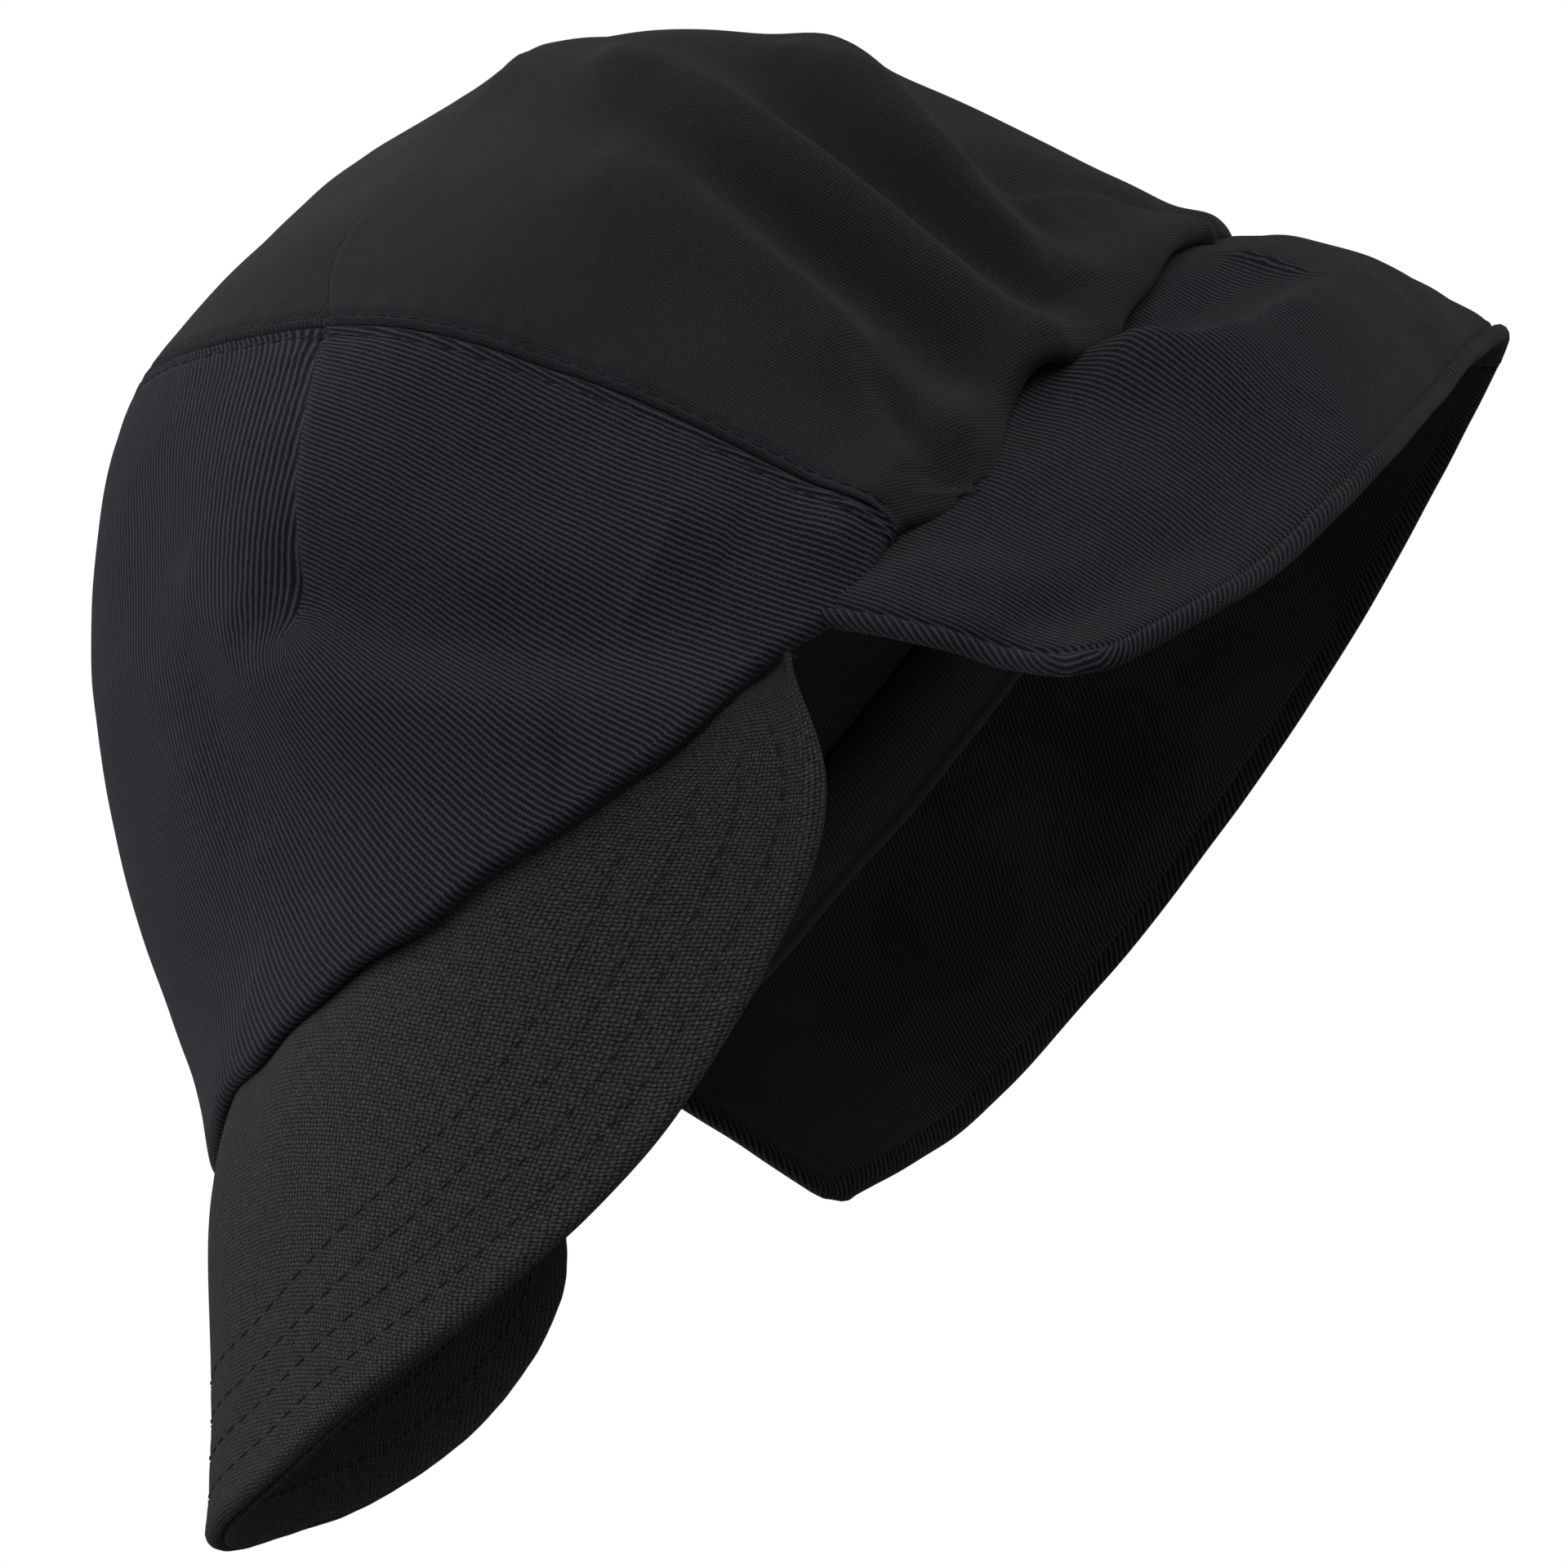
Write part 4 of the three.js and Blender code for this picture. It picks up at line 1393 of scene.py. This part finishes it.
def crown_panels() -> list[CrownPanel]:
    """Describes the crown's four panels.

    Returns:
        The front band, the middle panel and the two side panels.
    """
    front = float(angle_of(np.array(BAND_SEAM[0])))
    back = float(angle_of(np.array(TOP_SEAM[-1])))
    share = BAND_SEAM_TO_TOP_SEAM / 2
    band = CrownPanel(
        "front_band_cloth",
        "front_band",
        "steep_twill",
        Finish.STEEP_TWILL,
        bottom=PlanCurve.arc(-BAND_GRID_CORNER, BAND_GRID_CORNER),
        top=PlanCurve.seam(WHOLE_BAND_SEAM, 0, 1),
        left=PlanCurve.arc(-BAND_GRID_CORNER, -front),
        right=PlanCurve.arc(BAND_GRID_CORNER, front),
        cells=(250, 96),
        hem=lambda across, up: up < AT_EDGE or across < AT_EDGE or across > 1 - AT_EDGE,
        lay=BAND_LAY,
        flat=(0.29, 0.09),
        area=0.0205,
        dart=(0.191, 0.764, -0.065, -0.128),
    )
    centre = CrownPanel(
        "crown_centre_cloth",
        "crown_centre",
        "fine_twill",
        Finish.FINE_TWILL,
        bottom=PlanCurve.seam(WHOLE_BAND_SEAM, share, 1 - share),
        top=PlanCurve.arc(360 - back, back),
        left=PlanCurve.seam(TOP_SEAM, 0, 1, -1),
        right=PlanCurve.seam(TOP_SEAM, 0, 1, 1),
        cells=(88, 220),
        hem=lambda across, up: up > 1 - AT_EDGE,
        lay=None,
        flat=(0.075, 0.19),
        area=0.0135,
    )
    sides = [
        CrownPanel(
            f"crown_{word}_cloth",
            f"crown_{word}",
            "fine_twill",
            Finish.FINE_TWILL,
            bottom=PlanCurve.arc(side * front, side * back),
            top=PlanCurve.seam(TOP_SEAM, 0, SIDE_PANEL_CORNER, side),
            left=PlanCurve.seam(BAND_SEAM, 0, BAND_SEAM_TO_TOP_SEAM, side),
            right=PlanCurve.seam(TOP_SEAM, 1, SIDE_PANEL_CORNER, side),
            cells=(180, 120),
            hem=lambda across, up: up < AT_EDGE,
            lay=SIDE_LAY,
            flat=(0.15, 0.115),
            area=0.0125,
        )
        for word, side in (("left", 1), ("right", -1))
    ]
    return [band, centre, *sides]


PEAK_PROFILE = (
    (-3.0, 0.0), (-2.1, -0.05), (-1.2, -0.05), (-0.6, 0.2), (-0.2, 0.6), (0.0, 1.2),
    (-0.1, 1.7), (-0.5, 2.05), (-1.1, 2.2), (-0.6, 2.35), (-0.3, 2.8), (-0.4, 3.25),
    (-0.9, 3.55), (-1.9, 3.7), (-3.0, 3.7),
)
FLAP_PROFILE = (
    (-3.2, 0.0), (-2.9, 0.3), (-2.6, 0.35), (-2.3, -0.1), (-1.7, -0.5), (-0.9, -0.4),
    (-0.3, 0.1), (0.0, 0.8), (-0.1, 1.5), (-0.6, 2.0), (-1.6, 2.2), (-3.2, 2.2),
)


@dataclass(frozen=True)
class FacedSheet:
    """A sheet of cloth with a second layer under it and a rolled edge.

    The edge's profile is a table of how far out and how far down each of its rows lies. The faces
    from row facing_from on show the facing. The sheet turns its outer side away from the point
    inside.
    """

    name: str
    node: str
    slot: str
    finish: Finish
    facing: Finish
    lining: Finish
    cells: tuple[int, int]
    profile: tuple[Pair, ...]
    facing_from: int
    flat: Pair
    area: float
    inside: Triple

    def surface(self, form: CrownForm, across: Array, down: Array) -> Array:
        """Gives the points of the outer cloth for parts across and down the sheet."""
        raise NotImplementedError

    def cloth(self, across: Array, down: Array, beyond: Array) -> Array:
        """Gives the cloth map, beyond being how far across and down past the edge a point lies."""
        raise NotImplementedError

    def facing_cloth(self, across: Array, down: Array, beyond: Array) -> Array:
        """Gives the cloth map of the facing, which is the outer cloth's unless a sheet has its own."""
        return self.cloth(across, down, beyond)

    def rounded(self, across: Array, down: Array) -> tuple[Array, Array, Array]:
        """Rounds the sheet's free corners.

        Args:
            across: the parts across the sheet.
            down: the parts down it.

        Returns:
            The parts across and down after rounding, and the share of each way that leads outwards
            from the edge, which is nothing away from it.
        """
        at_side = np.where(across < AT_EDGE, -1.0, np.where(across > 1 - AT_EDGE, 1.0, 0.0))
        at_end = np.where(down > 1 - AT_EDGE, 1.0, 0.0)
        return across, down, np.stack([at_side, at_end], -1)

    def edge_share(self, across: Array, down: Array) -> Array:
        """Gives how full the edge's profile is, which is nothing along the sewn edge."""
        raise NotImplementedError

    def build(self, form: CrownForm) -> Object:
        """Builds and dresses the sheet.

        Args:
            form: the crown's surface, whose edge the sheet is sewn to.

        Returns:
            The finished piece.
        """
        draft = grid_draft(self.cells)
        extrude_ring(draft, lambda across, down: True, len(self.profile), self.facing_from)
        under = grid_draft(self.cells, len(self.profile) + 1)
        for face in under.faces:
            face.material_index = 2
        spare = meshed("spare", under)
        draft.from_mesh(spare)
        bpy.data.meshes.remove(spare)
        work = Draft(self.name, draft)
        across, down, step = work.layout.T
        inset = -self.profile[0][0]
        step = step.round().astype(int)
        across, down, out_share = self.rounded(across, down)
        base, normal, outward = self.edge_frames(form, across, down, out_share)
        table = np.array(((-inset, 0.0), *self.profile, (-inset, self.profile[-1][1])))
        full = self.edge_share(across, down)
        out = (table[step, 0] + inset) * full
        depth = table[step, 1] * (0.25 + 0.75 * full)
        under_grid = step == len(self.profile) + 1
        points = base + outward * np.where(under_grid, 0.0, out)[:, None] - normal * depth[:, None]
        length = reach_along(table[:-1])
        over = np.append(length, length[-1])[step][:, None]
        cloth = self.cloth(across, down, out_share * over)
        facing = self.facing_cloth(across, down, out_share * (length[-1] - over))
        vertices, faces = work.corners()
        index = np.empty(len(work.mesh.polygons), np.int32)
        work.mesh.polygons.foreach_get("material_index", index)
        values = np.where((index[faces] > 0)[:, None], facing[vertices], cloth[vertices])
        mesh = work.finish(points, values, np.array(self.inside), True)
        piece = shown(self.name, mesh, (self.finish, self.facing, self.lining))
        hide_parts(self.node)
        return piece

    def edge_frames(
        self, form: CrownForm, across: Array, down: Array, out_share: Array
    ) -> tuple[Array, Array, Array]:
        """Gives the drawn-in points of the sheet, their normals and the ways out past its edge.

        Args:
            form: the crown's surface.
            across: the parts across the sheet.
            down: the parts down it.
            out_share: the share of the ways across and down that leads outwards.

        Returns:
            Points, unit normals and outward ways, which are nothing away from the edge.
        """
        step = 0.002
        a = np.clip(across, step, 1 - step)
        d = np.clip(down, step, 1 - step)
        across_way = self.surface(form, a + step, d) - self.surface(form, a - step, d)
        down_way = self.surface(form, a, d + step) - self.surface(form, a, d - step)
        out_of_head = self.surface(form, a, d) - np.array(self.inside)
        normal = turned_to(unit(np.cross(across_way, down_way)), out_of_head)
        sideways = turned_to(unit(np.cross(normal, down_way)), across_way)
        downwards = turned_to(unit(np.cross(normal, across_way)), down_way)
        outward = sideways * out_share[:, :1] + downwards * out_share[:, 1:]
        return self.surface(form, across, down), normal, outward


@dataclass(frozen=True)
class Peak(FacedSheet):
    """The peak: canvas over a thin board, sewn under the rolled hem of the front band."""

    name: str = "peak_cloth"
    node: str = "peak"
    slot: str = "canvas"
    finish: Finish = Finish.CANVAS
    facing: Finish = Finish.CANVAS
    lining: Finish = Finish.CANVAS
    cells: tuple[int, int] = (300, 80)
    profile: tuple[Pair, ...] = PEAK_PROFILE
    facing_from: int = 10
    flat: Pair = (0.2, 0.13)
    area: float = 0.0115
    inside: Triple = (0.0, -60.0, -80.0)
    seat_inset: float = 3.6
    seat_below: float = 1.0
    corner: float = 0.07  # the part of the width over which the edge's roll fades at each corner
    unevenness: float = 0.25
    row_dent: float = 0.16  # depth and half width of what a row of stitches presses in
    row_width: float = 0.7
    wrinkles: float = 0.1  # height and half width of the fine wrinkles between the rows
    wrinkles_width: float = 10.0
    lift_way: Triple = (0.0, -0.3, 0.95)
    ring_turn: float = 88.0  # the cloth lies flat as a ring: how far it turns to each side, in degrees
    ring_radius: float = 72.0
    ring_width: float = 20.0
    ring_more: float = 38.0  # how much wider it is in the middle

    def span(self, form: CrownForm, across: Array) -> tuple[Array, Array, Array, Array]:
        """Gives the peak's seat under the hem and its edge.

        Args:
            form: the crown's surface.
            across: the parts across the peak.

        Returns:
            The seat, the edge, the width between them, and the part of it that the top cloth
            spans before its edge begins to roll.
        """
        place = 1 - 2 * across
        edge = along(PEAK_EDGE, (1 - place) / 2)
        angle = place * PEAK_HALF_ANGLE
        plan = plan_point(angle, 0.0)
        seat = form.smooth(plan)
        seat[:, :2] -= plan * self.seat_inset
        seat[:, 2] += form.hem_lift(angle) - self.seat_below - bells(angle, RIM_BULGES)
        width = np.maximum(np.linalg.norm(edge - seat, axis=1), 1.0)
        inset = -self.profile[0][0] * smooth_step(0.0, self.corner, np.minimum(across, 1 - across))
        return seat, edge, width, 1 - inset / np.maximum(width, 2 * inset)

    def surface(self, form: CrownForm, across: Array, down: Array) -> Array:
        """Gives the points of the top cloth.

        Args:
            form: the crown's surface.
            across: the parts across the peak.
            down: the parts out from its seat.

        Returns:
            The points, in millimetres.
        """
        seat, edge, width, drawn = self.span(form, across)
        place = 1 - 2 * across
        v = (down * drawn)[:, None]
        hump = v * (1 - v) ** 3 / (0.25 * 0.75**3)
        rounding = PEAK_ROUNDING * hump * (1 - place[:, None] ** 2)
        points = seat * (1 - v) + edge * v + PEAK_ROUNDING_WAY * rounding
        to_edge = (1 - v[:, 0]) * width
        lift = self.unevenness * waves(points, 30.0, 8) * smooth_step(0, 12, to_edge)
        for row in PEAK_ROWS:
            lift = lift - self.row_dent * bell(to_edge - row, self.row_width)
        lift = lift + self.wrinkles * waves(points, 5.0, 9) * bell(to_edge - 12, self.wrinkles_width)
        return points + np.array(self.lift_way) * lift[:, None]

    def cloth(self, across: Array, down: Array, beyond: Array) -> Array:
        """Gives the cloth map, as part of a ring round the front of the head.

        Args:
            across: the parts across the peak.
            down: the parts out from its seat.
            beyond: how far across and out past the edge a point lies.

        Returns:
            The cloth map of each point.
        """
        turn = (1 - 2 * across) * math.radians(self.ring_turn)
        reach = self.ring_radius + down * (self.ring_width + self.ring_more * np.cos(turn * 0.9) ** 2)
        turn = turn - beyond[:, 0] / reach
        reach = reach + beyond[:, 1]
        return np.stack([reach * np.sin(turn), -reach * np.cos(turn)], -1)

    def stitch_rows(self, form: CrownForm) -> list[tuple[Array, Array]]:
        """Gives the rows of stitches on the top and on the underside.

        Args:
            form: the crown's surface.

        Returns:
            The points and normals of each row.
        """
        across = np.linspace(0.03, 0.97, 300)
        _, _, width, drawn = self.span(form, across)
        rows = []
        for row in PEAK_ROWS:
            clear = width - row > self.seat_inset + 1.5
            place = across[clear]
            down = (1 - row / width[clear]) / drawn[clear]
            out_share = np.zeros((len(place), 2))
            points, normal, _ = self.edge_frames(form, place, down, out_share)
            rows.append((points, normal))
            rows.append((points - normal * self.profile[-1][1], -normal))
        return rows

    def edge_share(self, across: Array, down: Array) -> Array:
        """Gives how full the edge's profile is, which fades towards the corners."""
        return smooth_step(0.0, self.corner, np.minimum(across, 1 - across)) * smooth_step(0.0, 0.5, down)


@dataclass(frozen=True)
class NeckFlap(FacedSheet):
    """The flap: twill with a facing that rolls forward round its edge."""

    name: str = "neck_flap_cloth"
    node: str = "neck_flap"
    slot: str = "steep_twill"
    finish: Finish = Finish.FLAP_TWILL
    facing: Finish = Finish.FLAP_TWILL
    lining: Finish = Finish.LINING
    cells: tuple[int, int] = (400, 54)
    profile: tuple[Pair, ...] = FLAP_PROFILE
    facing_from: int = 4
    flat: Pair = (0.4, 0.05)
    area: float = 0.0175
    inside: Triple = (0.0, 10.0, 0.0)
    seat_inset: float = 2.8
    seat_rise: float = 0.05
    corners: Pair = (8.0, 3.0)
    unevenness: float = 0.35  # of slow waves in the cloth, and of quicker ones
    quick_unevenness: float = 0.12
    edge_groove: float = 0.5  # the dent beside the rolled edge, how far from it, and its half width
    edge_groove_place: float = 3.2
    edge_groove_width: float = 1.6
    rib_turns: Pair = (-14.0, 40.0)  # how the ribs of the outside and the facing lie

    def surface(self, form: CrownForm, across: Array, down: Array) -> Array:
        """Gives the points of the outer cloth.

        Args:
            form: the crown's surface.
            across: the parts round the flap.
            down: the parts down it.

        Returns:
            The points, in millimetres.
        """
        inset = -self.profile[0][0]
        u = across + (0.5 - across) * 2 * inset / FLAP_LENGTH
        v = down * (1 - inset / FLAP_WIDTH)
        rib = along(FLAP_RIBS, u)
        outwards = plan_point(rib[:, 0], 0.0)
        seat = form.smooth(plan_point(rib[:, 0], self.seat_rise))
        seat[:, :2] -= outwards * self.seat_inset
        size = np.array([FLAP_LENGTH, FLAP_WIDTH])
        flat = np.stack([u, v], -1) * size
        lift = self.unevenness * waves(flat, 24.0, 11) + self.quick_unevenness * waves(flat, 9.0, 12)
        for fold in FLAP_FOLDS:
            lift += fold.lift(flat, lambda route: route * size)
        to_edge = np.minimum(np.minimum(u, 1 - u) * FLAP_LENGTH, (1 - v) * FLAP_WIDTH)
        lift -= self.edge_groove * bell(to_edge - self.edge_groove_place, self.edge_groove_width)
        out = 4 * v * (1 - v) * rib[:, 4] + lift * np.minimum(1, v / FLAP_FOLD_START)
        way = np.concatenate([outwards, np.full((len(u), 1), FLAP_BOW_RISE)], 1)
        return seat * (1 - v)[:, None] + rib[:, 1:4] * v[:, None] + way * out[:, None]

    def rounded(self, across: Array, down: Array) -> tuple[Array, Array, Array]:
        """Rounds the flap's two lower corners.

        Args:
            across: the parts round the flap.
            down: the parts down it.

        Returns:
            The parts after rounding, and the share of each way that leads outwards from the edge.
        """
        across, down, share = super().rounded(across, down)
        side = np.where(across < 0.5, -1.0, 1.0)
        corner = np.where(across < 0.5, *self.corners)
        p = np.clip(1 - np.minimum(across, 1 - across) * FLAP_LENGTH / corner, 0, 1)
        q = np.clip(1 - (1 - down) * FLAP_WIDTH / corner, 0, 1)
        near = (p > 0) & (q > 0)
        turned = np.stack([p * np.sqrt(1 - q**2 / 2), q * np.sqrt(1 - p**2 / 2)], -1)
        x = (1 - turned[:, 0]) * corner / FLAP_LENGTH
        across = np.where(near, np.where(side < 0, x, 1 - x), across)
        down = np.where(near, 1 - (1 - turned[:, 1]) * corner / FLAP_WIDTH, down)
        on_edge = near & (np.abs(share).max(1) > 0)
        share = np.where(on_edge[:, None], turned * np.stack([side, np.ones_like(side)], -1), share)
        return across, down, share

    def cloth(self, across: Array, down: Array, beyond: Array) -> Array:
        """Gives the cloth map, turned to the ribs of the twill."""
        return self.ribbed(self.rib_turns[0], across, down, beyond)

    def facing_cloth(self, across: Array, down: Array, beyond: Array) -> Array:
        """Gives the cloth map of the facing, whose ribs slope the other way."""
        return self.ribbed(self.rib_turns[1], across, down, beyond)

    def ribbed(self, turn: float, across: Array, down: Array, beyond: Array) -> Array:
        """Gives the cloth map for a turn of the ribs."""
        return rib_lines(turn, across * FLAP_LENGTH + beyond[:, 0], -down * FLAP_WIDTH - beyond[:, 1])

    def edge_share(self, across: Array, down: Array) -> Array:
        """Gives how full the edge's profile is, which is nothing along the sewn edge."""
        return smooth_step(0.0, 0.1, down)


# Once round the welt: how far inwards from the rim's outer face, and how far up.
WELT_SECTION = (
    (1.0, 9.5), (4.2, 7.0), (5.9, 3.2), (6.0, -0.8), (5.1, -4.0), (5.0, -4.8), (5.1, -5.6),
    (4.6, -6.4), (3.6, -6.0), (3.3, -2.0), (2.9, 2.0), (1.4, 6.5), (1.0, 9.5),
)


@dataclass(frozen=True)
class RimWelt:
    """The turned and sewn edges inside the rim, which end below in a thin ridge."""

    cells: tuple[int, int] = (420, 26)
    deepens: Pair = (125.0, 150.0)  # the angles between which it grows deeper
    ends: Pair = (268.0, 279.0)  # and those between which it grows shallow again
    low_edge: float = 3.0  # how far above the rim it ends below where it is shallow
    depth: float = 12.0  # how much lower than that it may reach where it is deep
    shallow_inset: float = 2.6  # how much further in it lies where it is shallow
    lift_rise: float = 0.06  # the rise at which the crown's own folds are read, which it follows
    lift_height: float = 8.0
    unevenness: float = 0.3
    cloth_size: Pair = (520.0, 36.0)  # round the rim and once round the section
    rib_turn: float = -20.0

    def build(self, form: CrownForm) -> Object:
        """Builds and dresses the welt.

        Args:
            form: the crown's surface.

        Returns:
            The finished piece.
        """
        work = Draft("rim_welt_roll", grid_draft(self.cells))
        across, turn, _ = work.layout.T
        degrees = across * 360.0
        plan = plan_point(degrees, 0.0)
        place = form.smooth(plan)
        inwards = -form.smooth_normal(plan)
        upwards = unit(np.array([0.0, 0.0, 1.0]) - inwards * inwards[:, 2:3])
        deep = smooth_step(*self.deepens, degrees) * (1 - smooth_step(*self.ends, degrees))
        inset, height = along(WELT_SECTION, turn).T
        height = np.maximum(height, self.low_edge - self.depth * deep)
        higher = plan_point(degrees, self.lift_rise)
        lift = dot(form.point(higher) - form.smooth(higher), form.smooth_normal(higher))
        inset = inset - lift * np.clip(height / self.lift_height, 0, 1) + self.shallow_inset * (1 - deep)
        height = height + self.unevenness * waves(place, 16.0, 21)
        points = place + inwards * inset[:, None] + upwards * height[:, None]
        cloth = rib_lines(self.rib_turn, across * self.cloth_size[0], turn * self.cloth_size[1])
        mesh = work.finish(points, cloth, HEAD_MIDDLE, True)
        # The welt wears the crown lining, lightened as painted light.
        piece = shown("rim_welt_roll", mesh, (Finish.CROWN_LINING,))
        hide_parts("rim_welt")
        return piece


@dataclass(frozen=True)
class Stitches:
    """Rows of small stitches on the cloth, as one piece."""

    name: str
    slot: str
    length: float = 2.1
    spacing: float = 2.6
    radius: float = 0.2
    raised: float = 0.08  # how far a stitch's middle lies above the cloth

    def build(self, rows: Sequence[tuple[Array, Array]]) -> Object:
        """Sews the rows.

        Args:
            rows: the points and outward normals along each row, in millimetres.

        Returns:
            The finished piece.
        """
        draft = bmesh.new()
        size = np.array([self.length / 2, self.radius, self.radius]) * MM
        for points, normals in rows:
            lengths = reach_along(points)
            count = int(lengths[-1] / self.spacing)
            reach = (np.arange(count) + 0.5) * lengths[-1] / count
            out = unit(read_along(reach, lengths, normals))
            way = unit(read_along(reach + 0.5, lengths, points) - read_along(reach - 0.5, lengths, points))
            place = (read_along(reach, lengths, points) + out * self.raised) * MM
            axes = np.stack([way, np.cross(out, way), out], -1) * size
            for middle, turn in zip(place, axes):
                matrix = Matrix.Translation(middle) @ Matrix(turn.tolist()).to_4x4()
                bmesh.ops.create_uvsphere(draft, u_segments=6, v_segments=5, radius=1.0, matrix=matrix)
        for face in draft.faces:
            face.smooth = True
        mesh = meshed(self.name, draft)
        piece = shown(self.name, mesh, (Finish.THREAD,))
        return piece


def seam_rows(
    form: CrownForm, curve: PlanCurve, start: float = 0.0, end: float = 1.0
) -> list[tuple[Array, Array]]:
    """Gives the two rows of stitches beside a seam of the crown.

    Args:
        form: the crown's surface.
        curve: the seam on the plan.
        start: the part of the seam where the rows start.
        end: the part where they end.

    Returns:
        The points and normals of both rows.
    """
    plan = curve(np.linspace(start, end, 161))
    place = form.smooth(plan)
    normal = form.smooth_normal(plan)
    sideways = unit(np.cross(normal, np.gradient(place, axis=0)))
    rows = []
    for row, way in zip(SEAM_ROWS, (1, -1)):
        beside = form.shifted(plan, sideways * row * way)
        inner = np.hypot(beside[:, 0], beside[:, 1]) < 0.995
        rows.append((form.point(beside[inner]), normal[inner]))
    return rows


@dataclass(frozen=True)
class Studio:
    """The camera at the photograph's viewing angle, soft light, a pale floor and a white backdrop.

    A sun is given by its name, the way from the cap towards it, its strength and the angle it fills.
    """

    azimuth: float = 57.0
    elevation: float = -6.4
    roll: float = 51.1
    distance: float = 1.0
    scale: float = 8.69  # photograph pixels per millimetre at that distance
    middle: Pair = (997.0, 941.5)  # the photograph's pixel that shows the origin
    pixels: float = 1920.0
    sensor: float = 36.0
    suns: tuple[tuple[str, Triple, float, float], ...] = (
        ("key", (0.93, 0.05, 0.36), 1.1, 60.0),
        ("fill", (0.7, 0.68, 0.2), 1.0, 60.0),
        ("side", (-0.27, -0.57, 0.77), 1.9, 50.0),
    )
    ambient: float = 0.18
    backdrop_radius: float = 12.0
    floor_radius: float = 3.0
    floor_height: float = -0.4
    floor_grey: float = 0.62

    def camera(self) -> Object:
        """Places the camera.

        Returns:
            The camera.
        """
        azimuth, elevation, roll = (math.radians(a) for a in (self.azimuth, self.elevation, self.roll))
        level = Vector((math.cos(azimuth), math.sin(azimuth), 0))
        ahead = Vector((math.sin(azimuth), -math.cos(azimuth), 0))
        away = math.cos(elevation) * ahead + Vector((0, 0, math.sin(elevation)))
        upright = away.cross(level)
        right = math.cos(roll) * level - math.sin(roll) * upright
        up = math.sin(roll) * level + math.cos(roll) * upright
        data = bpy.data.cameras.new("camera")
        data.sensor_width = self.sensor
        data.lens = self.sensor * self.scale * self.distance * 1000 / self.pixels
        data.shift_x = (self.pixels / 2 - self.middle[0]) / self.pixels
        data.shift_y = (self.middle[1] - self.pixels / 2) / self.pixels
        data.clip_end = 100
        camera = bpy.data.objects.new("camera", data)
        matrix = Matrix((right, up, away)).transposed().to_4x4()
        matrix.translation = away * self.distance
        camera.matrix_world = matrix
        bpy.context.scene.collection.objects.link(camera)
        bpy.context.scene.camera = camera
        return camera

    def sun(self, name: str, way: Triple, strength: float, spread: float) -> Object:
        """Adds one broad light.

        Args:
            name: its name.
            way: the way from the cap towards the light.
            strength: its strength.
            spread: the angle that it fills, in degrees.

        Returns:
            The light.
        """
        data = bpy.data.lights.new(name, "SUN")
        data.energy = strength
        data.angle = math.radians(spread)
        light = bpy.data.objects.new(name, data)
        light.rotation_euler = Vector(way).to_track_quat("Z", "Y").to_euler()
        bpy.context.scene.collection.objects.link(light)
        return light

    def build(self) -> None:
        """Sets up the whole studio."""
        scene = bpy.context.scene
        scene.view_settings.view_transform = "Standard"
        world = bpy.data.worlds.new("studio")
        world.use_nodes = True
        background = world.node_tree.nodes["Background"]
        background.inputs["Color"].default_value = (1, 1, 1, 1)
        background.inputs["Strength"].default_value = self.ambient
        scene.world = world
        self.camera()
        for sun in self.suns:
            self.sun(*sun)
        self.backdrop()
        self.floor()

    def backdrop(self) -> None:
        """Surrounds the scene with plain white."""
        draft = bmesh.new()
        bmesh.ops.create_uvsphere(draft, u_segments=64, v_segments=32, radius=self.backdrop_radius)
        bmesh.ops.reverse_faces(draft, faces=draft.faces)
        shade = Shade("backdrop_white")
        glow = shade.node("Emission", Strength=1.0)
        shade.feed(shade.tree.nodes["Material Output"].inputs["Surface"], glow.outputs[0])
        self.stage_piece("backdrop", draft, shade)

    def floor(self) -> None:
        """Lays the pale floor well below the cap."""
        draft = bmesh.new()
        bmesh.ops.create_circle(draft, cap_ends=True, segments=96, radius=self.floor_radius)
        bmesh.ops.translate(draft, verts=draft.verts, vec=(0, 0, self.floor_height))
        shade = Shade("floor_pale")
        shade.feed(shade.surface.inputs["Base Color"], (*[self.floor_grey] * 3, 1))
        shade.feed(shade.surface.inputs["Roughness"], 0.9)
        self.stage_piece("floor", draft, shade)

    def stage_piece(self, name: str, draft: BMesh, shade: Shade) -> None:
        """Puts a floor or backdrop into the scene, which only the camera sees.

        Args:
            name: its name.
            draft: its draft.
            shade: its material.
        """
        mesh = meshed(name, draft)
        mesh.materials.append(shade.material)
        piece = bpy.data.objects.new(name, mesh)
        bpy.context.scene.collection.objects.link(piece)
        piece.visible_diffuse = False
        piece.visible_glossy = False
        piece.visible_transmission = False
        piece.visible_shadow = False


def main() -> None:
    """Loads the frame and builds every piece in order."""
    logging.basicConfig(level=logging.INFO, format="%(message)s")
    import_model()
    Studio().build()
    form = CrownForm()
    RimWelt().build(form)
    for panel in crown_panels():
        panel.build(form)
    peak = Peak()
    peak.build(form)
    Stitches("peak_stitches", "canvas", 2.2, 3.0, 0.16).build(peak.stitch_rows(form))
    NeckFlap().build(form)
    rows = seam_rows(form, seam_curves()[0], 0.005, 0.995)
    Stitches("band_seam_stitches", "steep_twill", 2.4, 2.65, 0.17).build(rows)


if __name__ == "__main__":
    main()
